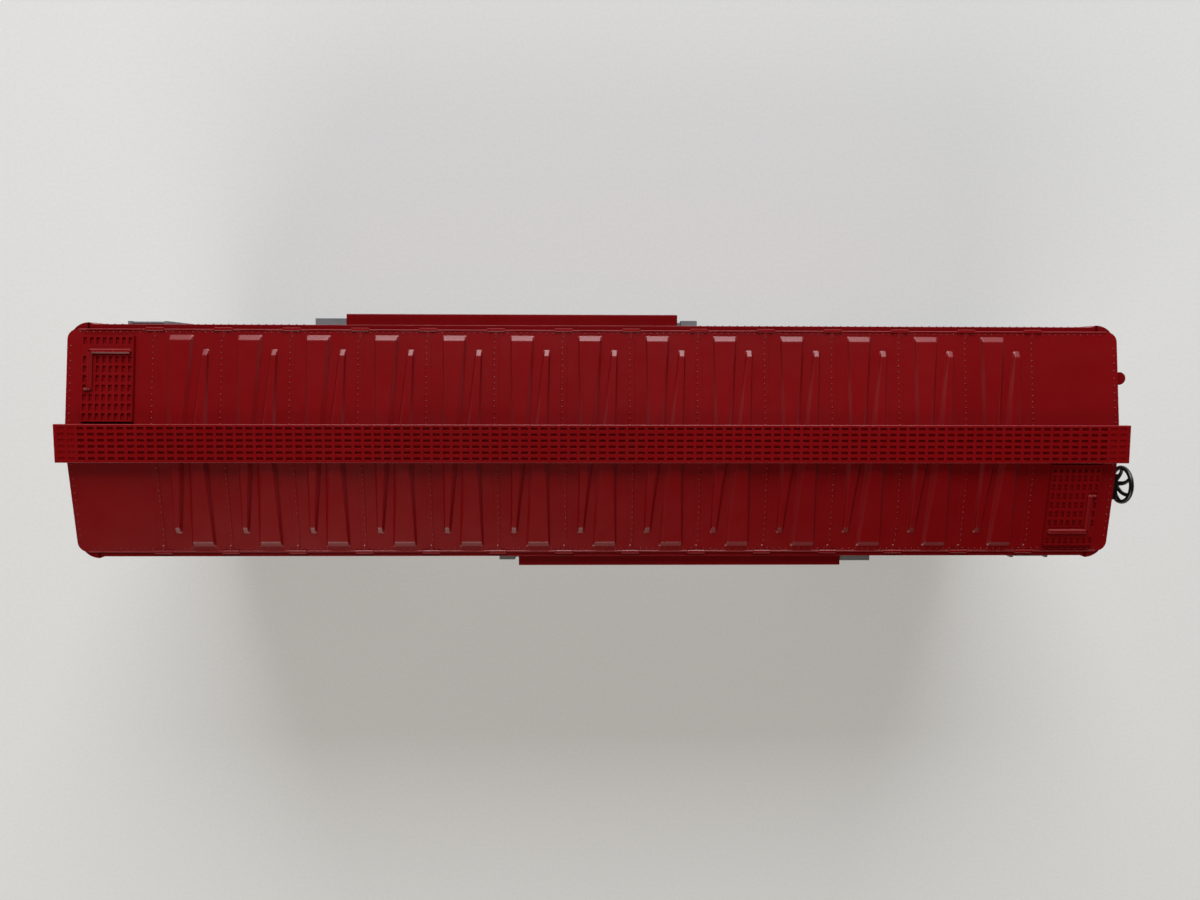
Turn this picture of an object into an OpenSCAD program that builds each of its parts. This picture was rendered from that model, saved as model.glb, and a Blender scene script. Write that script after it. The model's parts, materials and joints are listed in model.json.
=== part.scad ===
// Forty-foot steel box car, a model railway wagon at 1:48.
// It stands on its wheels. +X is the hand-brake end, +Y the left side and +Z up.
// The origin is under the middle of the car, level with the bottoms of the flanges.

/* [Body] */
// Length of the roof
body_len = 266.5; // [235:0.5:320]
// Width over the side sheets
body_w = 59.4; // [50:0.1:72]
// Height inside, from the deck to the roof seat
inside_h = 66.4; // [56:0.1:82]
// Thickness of the side and end walls
wall_t = 1.6; // [1.3:0.1:2.2]
// Thickness of the floor
floor_t = 2.2; // [1.6:0.1:3]
// How far the side sills hang below the underside of the floor
sill_drop = 1; // [0.6:0.1:1.6]

/* [Roof] */
// Rise of the ridge above the eaves
roof_rise = 3.9; // [2.4:0.1:6]
// Thickness of the roof sheet at the ridge
roof_t = 1.3; // [1:0.1:2]
// Edge of the roof sheet above its seat
roof_edge = 0.4; // [0.3:0.05:0.8]
// Width of side top left bare outside the roof sheet
eave_shelf = 1.25; // [0.8:0.05:2]
// Spacing of the roof seams
seam_pitch = 17.15; // [15:0.05:18.5]
// Number of seams across the roof
seam_count = 14; // [8:1:14]
// Width of a seam strip
seam_w = 1.2; // [0.8:0.1:1.8]
// Height of the seams and ribs above the sheet
rib_h = 0.7; // [0.4:0.05:1]

/* [Running boards] */
// Overhang of the running board beyond each end of the roof
board_over = 1.6; // [0:0.1:4]
// Width of the running board
board_w = 9.6; // [7:0.1:12]
// Thickness of the running board
board_t = 1.5; // [1:0.1:2]
// Gap between the ridge and the running board
board_gap = 0.5; // [0.4:0.1:1.2]
// Length along the roof of a corner platform
lateral_len = 13; // [10:0.1:15]
// Distance of the corner platforms from the end of the roof
lateral_inset = 4.05; // [3:0.05:5]
// Thickness of a corner platform
lateral_t = 0.9; // [0.7:0.1:1.3]

/* [Doors] */
// Width of the doorway
doorway_w = 38.1; // [30:0.1:40]
// Height of the doorway
doorway_h = 60; // [48:0.1:61]
// Overlap of the door past each side of the doorway
door_lap = 1.45; // [1:0.05:2]
// How far the door slides
door_travel = 40; // [34:0.5:41]
// Depth of the hood over the door rail, out from the side
hood_d = 2.9; // [2.8:0.05:3.6]
// Thickness of the door sheet
door_t = 0.8; // [0.6:0.05:1]

/* [Running gear] */
// Diameter of the wheel tread
wheel_d = 17.5; // [15:0.1:21]
// Height of the wheel flange
flange_h = 1.1; // [0.8:0.05:1.3]
// Distance between the backs of a pair of wheels
back_to_back = 29.2; // [27:0.1:30]
// Width of a wheel with its flange
wheel_w = 3.6; // [3:0.1:4]
// Distance between the axles of a truck
wheelbase = 34.9; // [33:0.1:39]
// Distance of each truck's pivot from the end of the roof
truck_inset = 35; // [34.5:0.5:40]
// Radius of the axles
axle_r = 1.2; // [0.9:0.05:1.5]
// Height of the truck's centre plate above the axles
plate_rise = 4.85; // [4.6:0.05:6]
// Height of the body bolster between centre plate and floor
bolster_depth = 7.3; // [6.8:0.1:9]
// Radius of the truck screw's shank
king_r = 1.2; // [1:0.05:1.5]

/* [Couplers] */
// Distance from the end of the roof to the coupler's pivot
pivot_inset = 9.5; // [9:0.1:11]
// Radius of the coupler's pivot post
post_r = 1.4; // [1.3:0.05:1.7]
// Thickness of the coupler's shank
shank_t = 2.5; // [2:0.1:2.8]
// Radius of the knuckle pin
pin_r = 0.6; // [0.5:0.05:0.8]

/* [Hand brake] */
// Outer radius of the brake wheel
hand_r = 5.2; // [4:0.1:6]
// Radius of the brake wheel's rim
rim_r = 0.55; // [0.4:0.05:0.7]
// Distance of the brake wheel to the right of the car's middle
hand_off = 12; // [11:0.1:14]
// Drop of the brake wheel's middle below the top of the running board
hand_drop = 14; // [12:0.5:18]
// Radius of the brake wheel's shaft
spindle_r = 0.8; // [0.6:0.05:1]

/* [Clearances] */
// Radial clearance of a shaft that turns in its bore
running = 0.05; // [0.02:0.01:0.1]
// Radial clearance of a screw or axle that is held fast
fast = 0.02; // [0.01:0.01:0.05]
// Gap between pieces that move past each other
gap = 0.35; // [0.3:0.01:0.5]

/* [Hidden] */
$fn = 32;
eps = 0.01;

half_len = body_len / 2;
half_w = body_w / 2;
inner_y = half_w - wall_t;

// Heights, from the wheels up
axle_z = flange_h + wheel_d / 2;
plate_z = axle_z + plate_rise;
deck_bottom = plate_z + bolster_depth;
deck_top = deck_bottom + floor_t;
wall_top = deck_top + inside_h;
eave_z = wall_top + roof_edge;
ridge_z = eave_z + roof_rise;
board_bottom = ridge_z + board_gap;
board_top = board_bottom + board_t;

// Roof
roof_lip = 0.6;
roof_half_w = half_w - eave_shelf;
slope = atan(roof_rise / roof_half_w);
slope_len = roof_half_w / cos(slope);
first_seam = -seam_pitch * (seam_count - 1) / 2;
corner_r = 2.5;
cap_half = 2.3;
saddle_w = board_w - 2.5;
saddle_t = seam_w + 0.4;
corner_grab_w = 1.2;
corner_grab_h = 0.8;

// Ends: each wraps round the corners to meet the side sheets
end_face = half_len - roof_lip;
end_inner = end_face - wall_t;
end_wrap = 6.5;
side_half = half_len - end_wrap;
bump_w = 4;
bump_h = 0.5;
bump_r = (pow(bump_w / 2, 2) + pow(bump_h, 2)) / (2 * bump_h);
screw_post_r = 2.2;
screw_post_x = end_inner - screw_post_r + 0.3;
screw_post_y = inner_y - 8;
screw_post_h = 16;
body_screw_r = 0.9;
weight_half = 80;
weight_t = 1.5;

// Side sheets: a post beside the doorway and equal panels to the end
door_post_w = 2;
panels = 5;
proud = 0.25;
post_x = doorway_w / 2 + door_post_w;
panel_w = (side_half - post_x) / panels;

// Door, its rail, its track and its hood, stacked out from the side sheet
door_y = half_w + proud + gap;
door_rib = 0.5;
door_face = door_y + door_t + door_rib;
lip_t = 0.6;
hood_y = max(half_w + hood_d, door_face + gap + lip_t);
track_top = deck_top - 1.4;
track_t = 0.8;
door_z0 = track_top + 0.3;
door_z1 = deck_top + doorway_h + 1.2;
rail_z = door_z1 + 0.6;
rail_h = 1;
rail_y = half_w + 1;
hook_z = rail_z + rail_h + 0.3;
hook_t = 0.4;
hood_z0 = door_z1 - 1.2;
hood_z1 = hook_z + hook_t + gap;
hood_t = 0.6;
door_half = doorway_w / 2 + door_lap;
hood_shut = door_half;
hood_open = door_half + door_travel + 3.55;
stop_len = 8;
stop_gap = 0.1;
rail_past = 1;
bumper_len = 4.1;

// Ladders and grab irons
ladder_w = 10;
ladder_x = side_half - 17.4;
ladder_d = 0.9;
rung_r = 0.3;
rungs = 8;
rung_pitch = (wall_top - deck_top - 6) / rungs;
ladder_z0 = deck_top + 1.5;
end_ribs = 8;
end_rib_pitch = (inside_h - 8) / end_ribs;
end_rib_r = 2;
end_rib_out = 1.3;
end_rib_half = 15;
end_rib_taper = 9;
end_ladder_w = 8;
end_ladder_y = half_w - 10.4;

// Trucks
truck_x = half_len - truck_inset;
wheel_in = back_to_back / 2;
wheel_out = wheel_in + wheel_w;
flange_t = 1.1;
frame_in = wheel_out + 1.4;
frame_t = 2.6;
journal_out = 1.6;
journal_deep = 1.6;
window_half = 4.6;
window_z = 4.2;
truck_bolster_half = 3.4;
spring_r = 1.45;
plate_r = 3.4;
screw_head_r = 2.4;

// Underframe
sill_half = 3.4;
sill_z = plate_z + 1.7;
sill_t = 0.8;
sill_flange = 1.6;
bolster_half = 4;
bearer_t = 1.2;
bearer_x = [32, 62];
rod_y = 7.5;
rod_z = sill_z + 2.2;
rod_r = 0.45;
pipe_y = 11;
pipe_z = deck_bottom - 1.6;
pipe_r = 0.6;

// Coupler and its box
pivot_x = half_len - pivot_inset;
shank_z = deck_bottom - 2.65;
box_back = pivot_x - 4.8;
box_front = end_face;
box_half = 5;
box_wall = 1.1;
cavity_half = box_half - box_wall;
cavity_z1 = shank_z + shank_t / 2 + 0.3;
cavity_z0 = shank_z - shank_t / 2 - 0.3;
lid_t = 0.8;
striker_t = 1;
striker_half = 6.5;
box_screw_r = 0.7;
shank_half = 1.6;
head_x = box_front + striker_t + 0.9;
head_half_h = 2.35;
lug_half_h = 1.1;
pin_x = head_x + 3.9;
pin_y = 3.3;
knuckle_r = 1.35;

// Hand brake
hand_z = board_top - hand_drop;
rim_x = half_len + 8.1;
dish = 1.7;
hub_r = 1.1;
hub_t = 1.4;
gear_front = end_face + 5.2;
gear_half = 3.4;
gear_top = hand_z + gear_half + 1.2;
gear_foot = hand_z - gear_half - 1;
clip_half = 0.4;
spindle_in = 2.6;
chain_x = end_face + 2.7;
step_half = 5;
step_d = 6;
step_z = deck_top + 6 + 4.5 * end_rib_pitch + 1.2;
stirrup_z = axle_z + 5.05;
stirrup_half = 4;
stirrup_t = 0.7;
stirrup_w = 0.9;
spokes = 6;

// ---- Helpers ----

// A block between two corners
module slab(lo, hi) translate(lo) cube(hi - lo);

// A round bar along X or Y, about the point at
module bar_x(at, len, r) translate(at) rotate([0, 90, 0]) cylinder(h = len, r = r, center = true);
module bar_y(at, len, r) translate(at) rotate([90, 0, 0]) cylinder(h = len, r = r, center = true);

// The same piece on the other side or at the other end: the car is alike after half a turn
module turned() rotate([0, 0, 180]) children();
module both_ways() for (turn = [0, 180]) rotate([0, 0, turn]) children();

// A profile in Y and Z, drawn out along X from x0 to x1
module along_x(x0, x1) translate([x0, 0, 0]) rotate([90, 0, 90]) linear_extrude(x1 - x0) children();

// A frame on the left slope of the roof: Y runs down the slope from the ridge, Z out of the sheet
module on_slope() translate([0, 0, ridge_z]) rotate([-slope, 0, 0]) children();

// Height of the pressed rib i of an end, and the height nearest to z that lies clear between two ribs
function end_rib_z(i) = deck_top + 6 + i * end_rib_pitch;
function gap_z(z) = end_rib_z(round((z - end_rib_z(0)) / end_rib_pitch - 0.5) + 0.5);
function rib_gap(z) = let (room = end_rib_pitch / 2 - end_rib_r - clip_half)
    gap_z(z) + max(-room, min(room, z - gap_z(z)));

function seam_x(i) = first_seam + i * seam_pitch;
function truck_at(i) = i < 2 ? -truck_x : truck_x;
function axle_x(i) = truck_at(i) + (i % 2 == 0 ? -1 : 1) * wheelbase / 2;

// ---- Roof ----

// Outline of the car in plan, with its round corners
module plan(half_x, half_y, r) {
    square([2 * half_x, 2 * (half_y - r)], center = true);
    square([2 * (half_x - r), 2 * half_y], center = true);
    for (sx = [-1, 1], sy = [-1, 1]) translate([sx * (half_x - r), sy * (half_y - r)]) circle(r);
}

// Cross-section of the sheet, and of the gable that closes each end of it
module sheet_section() {
    seat = roof_half_w - 4;
    polygon([[-roof_half_w, wall_top], [-roof_half_w, eave_z], [0, ridge_z], [roof_half_w, eave_z],
        [roof_half_w, wall_top], [seat, wall_top], [0, ridge_z - roof_t], [-seat, wall_top]]);
}

module gable_section() {
    polygon([[-roof_half_w, wall_top], [-roof_half_w, eave_z], [0, ridge_z], [roof_half_w, eave_z],
        [roof_half_w, wall_top]]);
}

// The two stamped ribs of one panel, one broad and one slender, with a diagonal valley between
module panel_ribs(x) {
    near = board_w / 2 - 2;
    wide_end = slope_len - 1.6;
    slender_end = slope_len - 5.2;
    translate([x, 0, -eps]) linear_extrude(rib_h + eps) {
        polygon([[3.9, near], [8.2, near], [9.7, wide_end - 1], [9, wide_end], [4.4, wide_end],
            [3.7, wide_end - 1]]);
        polygon([[9.5, near], [13.2, near], [13.5, slender_end - 0.8], [13.1, slender_end],
            [12.4, slender_end], [12, slender_end - 0.8]]);
    }
}

// A seam strip with its cap, which folds over the eave
module seam(x) {
    slab([x - seam_w / 2, 1, -eps], [x + seam_w / 2, slope_len - 0.3, rib_h * 0.6]);
    slab([x - cap_half, slope_len - 0.6, -0.3], [x + cap_half, slope_len + 0.5, rib_h * 0.8]);
}

module roof() color("#a01418") {
    intersection() {
        union() {
            along_x(-half_len, half_len) sheet_section();
            both_ways() along_x(end_inner, half_len) gable_section();
        }
        translate([0, 0, wall_top - 1]) linear_extrude(20) plan(half_len, roof_half_w, corner_r);
    }
    both_ways() on_slope() {
        for (i = [0 : seam_count - 1]) seam(seam_x(i));
        for (i = [0 : seam_count - 2]) panel_ribs(seam_x(i));
    }
    // Saddles that carry the running board
    for (i = [0 : seam_count - 1])
        slab([seam_x(i) - saddle_t / 2, -saddle_w / 2, ridge_z - 0.8],
            [seam_x(i) + saddle_t / 2, saddle_w / 2, board_bottom]);
}

module running_board() color("#a01418") {
    slab([-half_len - board_over, -board_w / 2, board_bottom],
        [half_len + board_over, board_w / 2, board_top]);
}

// Corner platform on the slope, with the raised corner grab iron
module lateral_board() {
    x0 = -half_len + lateral_inset;
    x1 = x0 + lateral_len;
    inner = board_w / 2 + 0.4;
    outer = slope_len - 1.8;
    leg_s = outer - 3.4;
    arm_x = x0 + 1.8;
    top = lateral_t + 0.02;
    on_slope() {
        slab([x0, inner, 0.02], [x1, outer, top]);
        slab([arm_x, leg_s - corner_grab_w, top - eps], [x1 - 0.5, leg_s, top + corner_grab_h]);
        slab([arm_x, leg_s - 10.4, top - eps], [arm_x + corner_grab_w, leg_s, top + corner_grab_h]);
    }
}

module lateral_board_a() color("#a01418") lateral_board();
module lateral_board_b() color("#a01418") turned() lateral_board();

// ---- Sides, ends and floor ----

// Left side sheet, with its doorway, its raised seams and the ledge that the roof sits on
module side() {
    difference() {
        slab([-side_half, inner_y, deck_bottom - sill_drop], [side_half, half_w, wall_top]);
        slab([-doorway_w / 2, inner_y - 1, deck_top], [doorway_w / 2, half_w + 1, deck_top + doorway_h]);
    }
    slab([-side_half, inner_y - 1.5, wall_top - 1.2], [side_half, inner_y + eps, wall_top]);
    for (s = [-1, 1]) {
        for (i = [1 : panels - 1]) {
            x = s * (post_x + i * panel_w);
            slab([x - 0.8, half_w - eps, deck_top + 0.8], [x + 0.8, half_w + proud, hood_z0 - 0.4]);
        }
        x = s * (post_x - door_post_w / 2);
        slab([x - door_post_w / 2, half_w - eps, deck_top + 0.8],
            [x + door_post_w / 2, half_w + proud, hood_z0 - 0.4]);
    }
}

module side_left() color("#a01418") side();
module side_right() color("#a01418") turned() side();

// Corner post with its round bead, and the flange that meets the side sheet
module end_corner() {
    intersection() {
        translate([0, 0, deck_bottom]) linear_extrude(wall_top - deck_bottom) difference() {
            plan(end_face, half_w, corner_r);
            plan(end_inner, inner_y, corner_r - wall_t);
        }
        slab([side_half, inner_y - 3, deck_bottom], [end_face, half_w, wall_top]);
    }
    bead_x = half_len - end_wrap + bump_w / 2;
    intersection() {
        translate([bead_x, half_w + bump_h - bump_r, deck_bottom])
            cylinder(h = wall_top - deck_bottom, r = bump_r);
        slab([side_half, half_w - 0.8, deck_bottom], [end_face, half_w + bump_h + 1, wall_top]);
    }
}

// One pressed rib of the end, a bar with tapered tips let into the sheet
module end_rib(z) {
    translate([end_face + end_rib_out - end_rib_r, 0, z]) {
        bar_y([0, 0, 0], 2 * end_rib_half, end_rib_r);
        for (s = [-1, 1]) translate([0, s * end_rib_half, 0]) rotate([-s * 90, 0, 0])
            cylinder(h = end_rib_taper, r1 = end_rib_r, r2 = end_rib_r - end_rib_out);
    }
}

module end_wall() {
    slab([end_inner, -inner_y + 2, deck_bottom], [end_face, inner_y - 2, wall_top]);
    for (s = [0, 1]) mirror([0, s, 0]) end_corner();
    intersection() {
        for (i = [0 : end_ribs - 1]) end_rib(end_rib_z(i));
        slab([end_inner + 0.4, -half_w, deck_bottom], [end_face + 5, half_w, wall_top]);
    }
    for (s = [-1, 1]) difference() {
        translate([screw_post_x, s * screw_post_y, deck_top]) cylinder(h = screw_post_h, r = screw_post_r);
        translate([screw_post_x, s * screw_post_y, deck_top - 1])
            cylinder(h = screw_post_h - 3, r = body_screw_r + fast);
    }
}

module end_a() color("#a01418") turned() end_wall();
module end_b() color("#a01418") end_wall();

module floor() color("#202022") difference() {
    translate([0, 0, deck_bottom]) linear_extrude(floor_t) plan(end_inner, inner_y, corner_r - wall_t + 0.2);
    for (sx = [-1, 1], sy = [-1, 1]) translate([sx * screw_post_x, sy * screw_post_y, deck_bottom - 1])
        cylinder(h = floor_t + 2, r = body_screw_r + 0.3);
}

module weight_plate() color("#9a9da2")
    slab([-weight_half, -inner_y + 8, deck_top], [weight_half, inner_y - 8, deck_top + weight_t]);

module body_screws() color("#b9bcc0") for (sx = [-1, 1], sy = [-1, 1])
    translate([sx * screw_post_x, sy * screw_post_y, 0]) {
        translate([0, 0, deck_bottom - 1]) cylinder(h = 1, r = 1.7);
        translate([0, 0, deck_bottom - eps]) cylinder(h = floor_t + 8, r = body_screw_r);
    }

// ---- Underframe ----

// One length of the centre sill: a channel open below, with a flange along each foot
module sill_length(x0, x1) along_x(x0, x1) difference() {
    union() {
        translate([-sill_half, sill_z]) square([2 * sill_half, deck_bottom - sill_z]);
        translate([-sill_half - sill_flange, sill_z]) square([2 * (sill_half + sill_flange), 0.6]);
    }
    translate([-sill_half + sill_t, sill_z - 1])
        square([2 * (sill_half - sill_t), deck_bottom - sill_t - sill_z + 1]);
}

module centre_sill() color("#202022") {
    sill_length(-truck_x + bolster_half, truck_x - bolster_half);
    both_ways() sill_length(truck_x + bolster_half, box_back);
}

// Tapered plates from the centre sill to each side sill
module crossbearers() color("#202022") for (x = bearer_x, sx = [-1, 1], sy = [0, 1])
    mirror([0, sy, 0]) difference() {
        along_x(sx * x - bearer_t / 2, sx * x + bearer_t / 2) polygon([[sill_half, sill_z + 0.6],
            [sill_half, deck_bottom], [inner_y, deck_bottom], [inner_y, deck_bottom - 1.6],
            [rod_y + 3, sill_z + 0.6]]);
        bar_x([sx * x, rod_y, rod_z], 4, rod_r + gap);
        bar_x([sx * x, pipe_y, pipe_z], 4, pipe_r + fast);
    }

// Body bolsters, each with the bore that takes a truck screw
module body_bolsters() color("#202022") both_ways() difference() {
    along_x(truck_x - bolster_half, truck_x + bolster_half) polygon([
        [-inner_y, deck_bottom], [-inner_y, deck_bottom - 2.2], [-6, plate_z + 1.5], [-plate_r, plate_z],
        [plate_r, plate_z], [6, plate_z + 1.5], [inner_y, deck_bottom - 2.2], [inner_y, deck_bottom]]);
    translate([truck_x, 0, plate_z - 1]) cylinder(h = bolster_depth - 0.3, r = king_r + fast);
}

module truck_screws() color("#b9bcc0") both_ways() translate([truck_x, 0, 0]) {
    foot = plate_z - 5.05 - 0.2;
    translate([0, 0, foot - 1.3]) cylinder(h = 1.3, r = screw_head_r);
    translate([0, 0, foot - eps]) cylinder(h = plate_z + 5.5 - foot, r = king_r);
}

// Steps hung below the side sill at the four corners
module stirrup_steps() color("#202022") both_ways() for (s = [-1, 1]) {
    x = s * (ladder_x + ladder_w / 2);
    y = inner_y + 0.5;
    slab([x - stirrup_half, y, stirrup_z], [x + stirrup_half, y + stirrup_w, stirrup_z + stirrup_t]);
    for (e = [-1, 1]) slab([x + e * stirrup_half - stirrup_t / 2, y, stirrup_z],
        [x + e * stirrup_half + stirrup_t / 2, y + stirrup_w, deck_bottom - sill_drop]);
}

// ---- Air brake ----

module brake_cylinder() color("#202022") translate([10, -15, deck_bottom - 4.6]) {
    bar_x([0, 0, 0], 10, 3.2);
    bar_x([4.4, 0, 0], 1.2, 3.9);
    bar_x([-5.6, 0, 0], 1.4, 2.2);
    bar_x([8.6, 0, 0], 9, 0.6);
    for (x = [-3, 2]) slab([x - 0.6, -2, 0], [x + 0.6, 2, 4.6]);
}

module air_reservoir() color("#202022") translate([-6, 17.5, deck_bottom - 4.8]) {
    bar_x([0, 0, 0], 15, 3.5);
    bar_x([0, 0, 0], 0.8, 4.1);
    for (s = [-1, 1]) {
        translate([s * 7.5, 0, 0]) rotate([0, s * 90, 0]) cylinder(h = 1.3, r1 = 3.5, r2 = 1.8);
        slab([s * 4 - 0.6, -2, 0], [s * 4 + 0.6, 2, 4.8]);
    }
}

module control_valve() color("#202022") translate([-18, -16, deck_bottom - 3.4]) {
    slab([-2, -2.6, -1.6], [2, 2.6, 3.4]);
    bar_y([0, 0, -0.2], 8, 1.6);
    bar_y([0, 0, -0.2], 9.2, 1);
}

// Rods to the two trucks, the lever that the cylinder pulls, the link that joins the rods below
// the centre sill, and the train pipe
module brake_rigging() color("#202022") {
    link_z = sill_z - 0.9;
    for (s = [-1, 1]) {
        bar_x([0, s * rod_y, rod_z], 2 * (bearer_x[1] + 3), rod_r);
        translate([-20.5, s * rod_y, link_z]) cylinder(h = rod_z - link_z, r = 0.5);
    }
    slab([22.5, -16.4, rod_z - 0.3], [23.9, -rod_y + 1, rod_z + 0.3]);
    slab([-21.2, -rod_y - 1.2, link_z], [-19.8, rod_y + 1.2, link_z + 0.6]);
    bar_x([0, pipe_y, pipe_z], 2 * (bearer_x[1] + 4), pipe_r);
}

// ---- Ladders and grab irons ----

module side_ladder() {
    z1 = wall_top - 2;
    for (s = [-1, 1]) {
        x = -ladder_x - ladder_w / 2 + s * (ladder_w / 2 - 0.4);
        slab([x - 0.4, half_w, ladder_z0], [x + 0.4, half_w + ladder_d, z1]);
    }
    for (i = [0 : rungs]) bar_x([-ladder_x - ladder_w / 2, half_w + ladder_d - rung_r, ladder_z0 + 1 + i * rung_pitch],
        ladder_w - 1, rung_r);
}

module side_ladder_left() color("#8b8f92") side_ladder();
module side_ladder_right() color("#8b8f92") turned() side_ladder();

// End ladder on the left of the end, standing clear of the pressed ribs on its feet
module end_ladder() {
    x = end_face + end_rib_out + 0.4;
    z1 = wall_top - 5;
    for (s = [-1, 1]) {
        y = -end_ladder_y - 3 + s * (end_ladder_w / 2 - 0.4);
        slab([x, y - 0.4, ladder_z0], [x + 0.8, y + 0.4, z1]);
        for (i = [0, 3, 6]) {
            z = end_rib_z(i + 0.5);
            slab([end_face, y - 0.4, z - 0.4], [x + eps, y + 0.4, z + 0.4]);
        }
    }
    for (i = [0 : rungs - 1]) bar_y([x + 0.4, -end_ladder_y - 3, ladder_z0 + 1 + i * rung_pitch],
        end_ladder_w - 1, rung_r);
}

module end_ladder_a() color("#8b8f92") turned() end_ladder();
module end_ladder_b() color("#8b8f92") end_ladder();

// Foot of a grab iron, from the wall at the point at to the middle of its bar
module grab_foot(at, out) {
    half = 0.4 * rung_r * ([1, 1, 1] - out / norm(out));
    slab(at - half, at + out + half);
}

// Grab irons at the left of each side and of each end: a bar on two feet
module grab_irons() color("#8b8f92") both_ways() {
    for (i = [0 : 3]) {
        z = ladder_z0 + 4 + i * 1.25 * rung_pitch;
        bar_x([ladder_x + ladder_w / 2, half_w + ladder_d - rung_r, z], ladder_w - 1, rung_r);
        for (s = [-1, 1]) grab_foot([ladder_x + ladder_w / 2 + s * (ladder_w / 2 - 0.8), half_w, z],
            [0, ladder_d - rung_r, 0]);
    }
    for (i = [0, 1]) {
        z = end_rib_z(i + 0.5);
        x = end_face + end_rib_out + 0.6;
        bar_y([x, end_ladder_y + 3, z], end_ladder_w - 1, rung_r);
        for (s = [-1, 1]) grab_foot([end_face, end_ladder_y + 3 + s * (end_ladder_w / 2 - 0.8), z],
            [x - end_face, 0, 0]);
    }
}

// ---- Doors ----

// Hood along the top of the doorway: a shelf with a lip turned down
module door_hood() {
    slab([-hood_open, half_w, hood_z1], [hood_shut, hood_y, hood_z1 + hood_t]);
    slab([-hood_open, hood_y - lip_t, hood_z0], [hood_shut, hood_y, hood_z1 + eps]);
}

// Rail that the door hangs from, with a stop beyond each end of the hood
module door_rail() {
    slab([-hood_open - stop_gap, half_w, rail_z], [hood_shut + rail_past, rail_y, rail_z + rail_h]);
    slab([-hood_open - stop_len, half_w, rail_z - 1.6],
        [-hood_open - stop_gap + eps, half_w + 1.8, hood_z1 + 0.2]);
    slab([hood_shut + rail_past - eps, half_w, rail_z - 1.2],
        [hood_shut + rail_past + bumper_len, half_w + 1.45, hood_z1 + 0.2]);
}

// Track below the door: a shelf with a lip turned up
module door_track() {
    slab([-hood_open + 1, half_w, track_top - track_t], [hood_shut, hood_y, track_top]);
    slab([-hood_open + 1, hood_y - lip_t, track_top - eps], [hood_shut, hood_y, track_top + 1.4]);
}

// Corrugated door with its two hangers and its latch
module door() {
    rib_rows = 11;
    pitch = (door_z1 - door_z0 - 3) / rib_rows;
    slab([-door_half, door_y, door_z0], [door_half, door_y + door_t, door_z1]);
    for (s = [-1, 1]) slab([s * (door_half - 1) - 1, door_y, door_z0],
        [s * (door_half - 1) + 1, door_face, door_z1]);
    for (i = [0 : rib_rows - 1]) {
        z = door_z0 + 1.5 + (i + 0.5) * pitch;
        slab([-door_half + 3, door_y + door_t - eps, z - 1.1], [door_half - 3, door_face, z + 1.1]);
    }
    for (s = [-1, 1]) {
        slab([s * 14 - 2, door_y + door_t - 0.05, door_z1 - 3], [s * 14 + 2, door_face, hook_z + hook_t]);
        slab([s * 14 - 2, half_w + gap, hook_z], [s * 14 + 2, door_face, hook_z + hook_t]);
    }
    // Latch: a plate with a bar handle
    z = door_z0 + 20;
    slab([door_half - 3.4, door_face - eps, z], [door_half - 0.6, door_face + 0.5, z + 5]);
    slab([door_half - 2.5, door_face + 0.4, z - 6], [door_half - 1.5, door_face + 1.1, z + 4]);
}

module door_hood_left() color("#a01418") door_hood();
module door_hood_right() color("#a01418") turned() door_hood();
module door_rail_left() color("#8b8f92") door_rail();
module door_rail_right() color("#8b8f92") turned() door_rail();
module door_track_left() color("#8b8f92") door_track();
module door_track_right() color("#8b8f92") turned() door_track();
module door_left() color("#a01418") door();
module door_right() color("#a01418") turned() door();

// ---- Hand brake ----

module brake_housing() color("#1a1a1a") difference() {
    union() {
        slab([end_face + end_rib_out + 0.1, -hand_off - gear_half, gear_foot],
            [gear_front, -hand_off + gear_half, gear_top]);
        bar_x([gear_front + 0.2, -hand_off, hand_z], 0.8, 2);
        // Feet to the wall, between the pressed ribs
        for (z = [rib_gap(gear_foot + clip_half), rib_gap(gear_top - clip_half)])
            slab([end_face + 0.02, -hand_off - gear_half - 1, z - clip_half],
                [end_face + end_rib_out + 0.6, -hand_off + gear_half + 1, z + clip_half]);
    }
    bar_x([gear_front, -hand_off, hand_z], 2 * spindle_in, spindle_r + running);
}

// Wheel, dished towards the car, on the shaft that turns in the housing
module brake_wheel() color("#1a1a1a") translate([rim_x, -hand_off, hand_z]) rotate([0, 90, 0]) {
    rotate_extrude() translate([hand_r - rim_r, 0]) circle(rim_r);
    hub_z = -dish;
    arm = hand_r - rim_r;
    translate([0, 0, hub_z - hub_t / 2]) cylinder(h = hub_t, r = hub_r);
    for (i = [0 : spokes - 1]) rotate([0, 0, 30 + i * 360 / spokes]) translate([0, 0, hub_z])
        rotate([0, 90 - atan(dish / arm), 0]) cylinder(h = norm([arm, dish]), r = 0.35);
    shaft = rim_x - dish - gear_front + spindle_in - 0.3;
    translate([0, 0, hub_z - shaft]) cylinder(h = shaft, r = spindle_r);
}

module brake_rod() color("#8b8f92")
    translate([chain_x, -hand_off, deck_bottom]) {
        cylinder(h = gear_foot - deck_bottom, r = 0.45);
        translate([0, 0, 3]) cylinder(h = 1.6, r = 0.9);
        slab([end_face - chain_x + end_rib_out + 0.05, -0.5, 3.4], [0, 0.5, 4.2]);
    }

module brake_step() color("#8b8f92") difference() {
    union() {
        slab([end_face + end_rib_out + 0.1, -hand_off - step_half, step_z],
            [end_face + end_rib_out + step_d, -hand_off + step_half, step_z + 0.9]);
        for (s = [-1, 1]) slab([end_face + 0.02, -hand_off + s * (step_half - 1) - 0.4, step_z - 2.4],
            [end_face + end_rib_out + 0.8, -hand_off + s * (step_half - 1) + 0.4, step_z + eps]);
    }
    translate([chain_x, -hand_off, step_z - 1]) cylinder(h = 3, r = 0.45 + gap);
}

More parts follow.
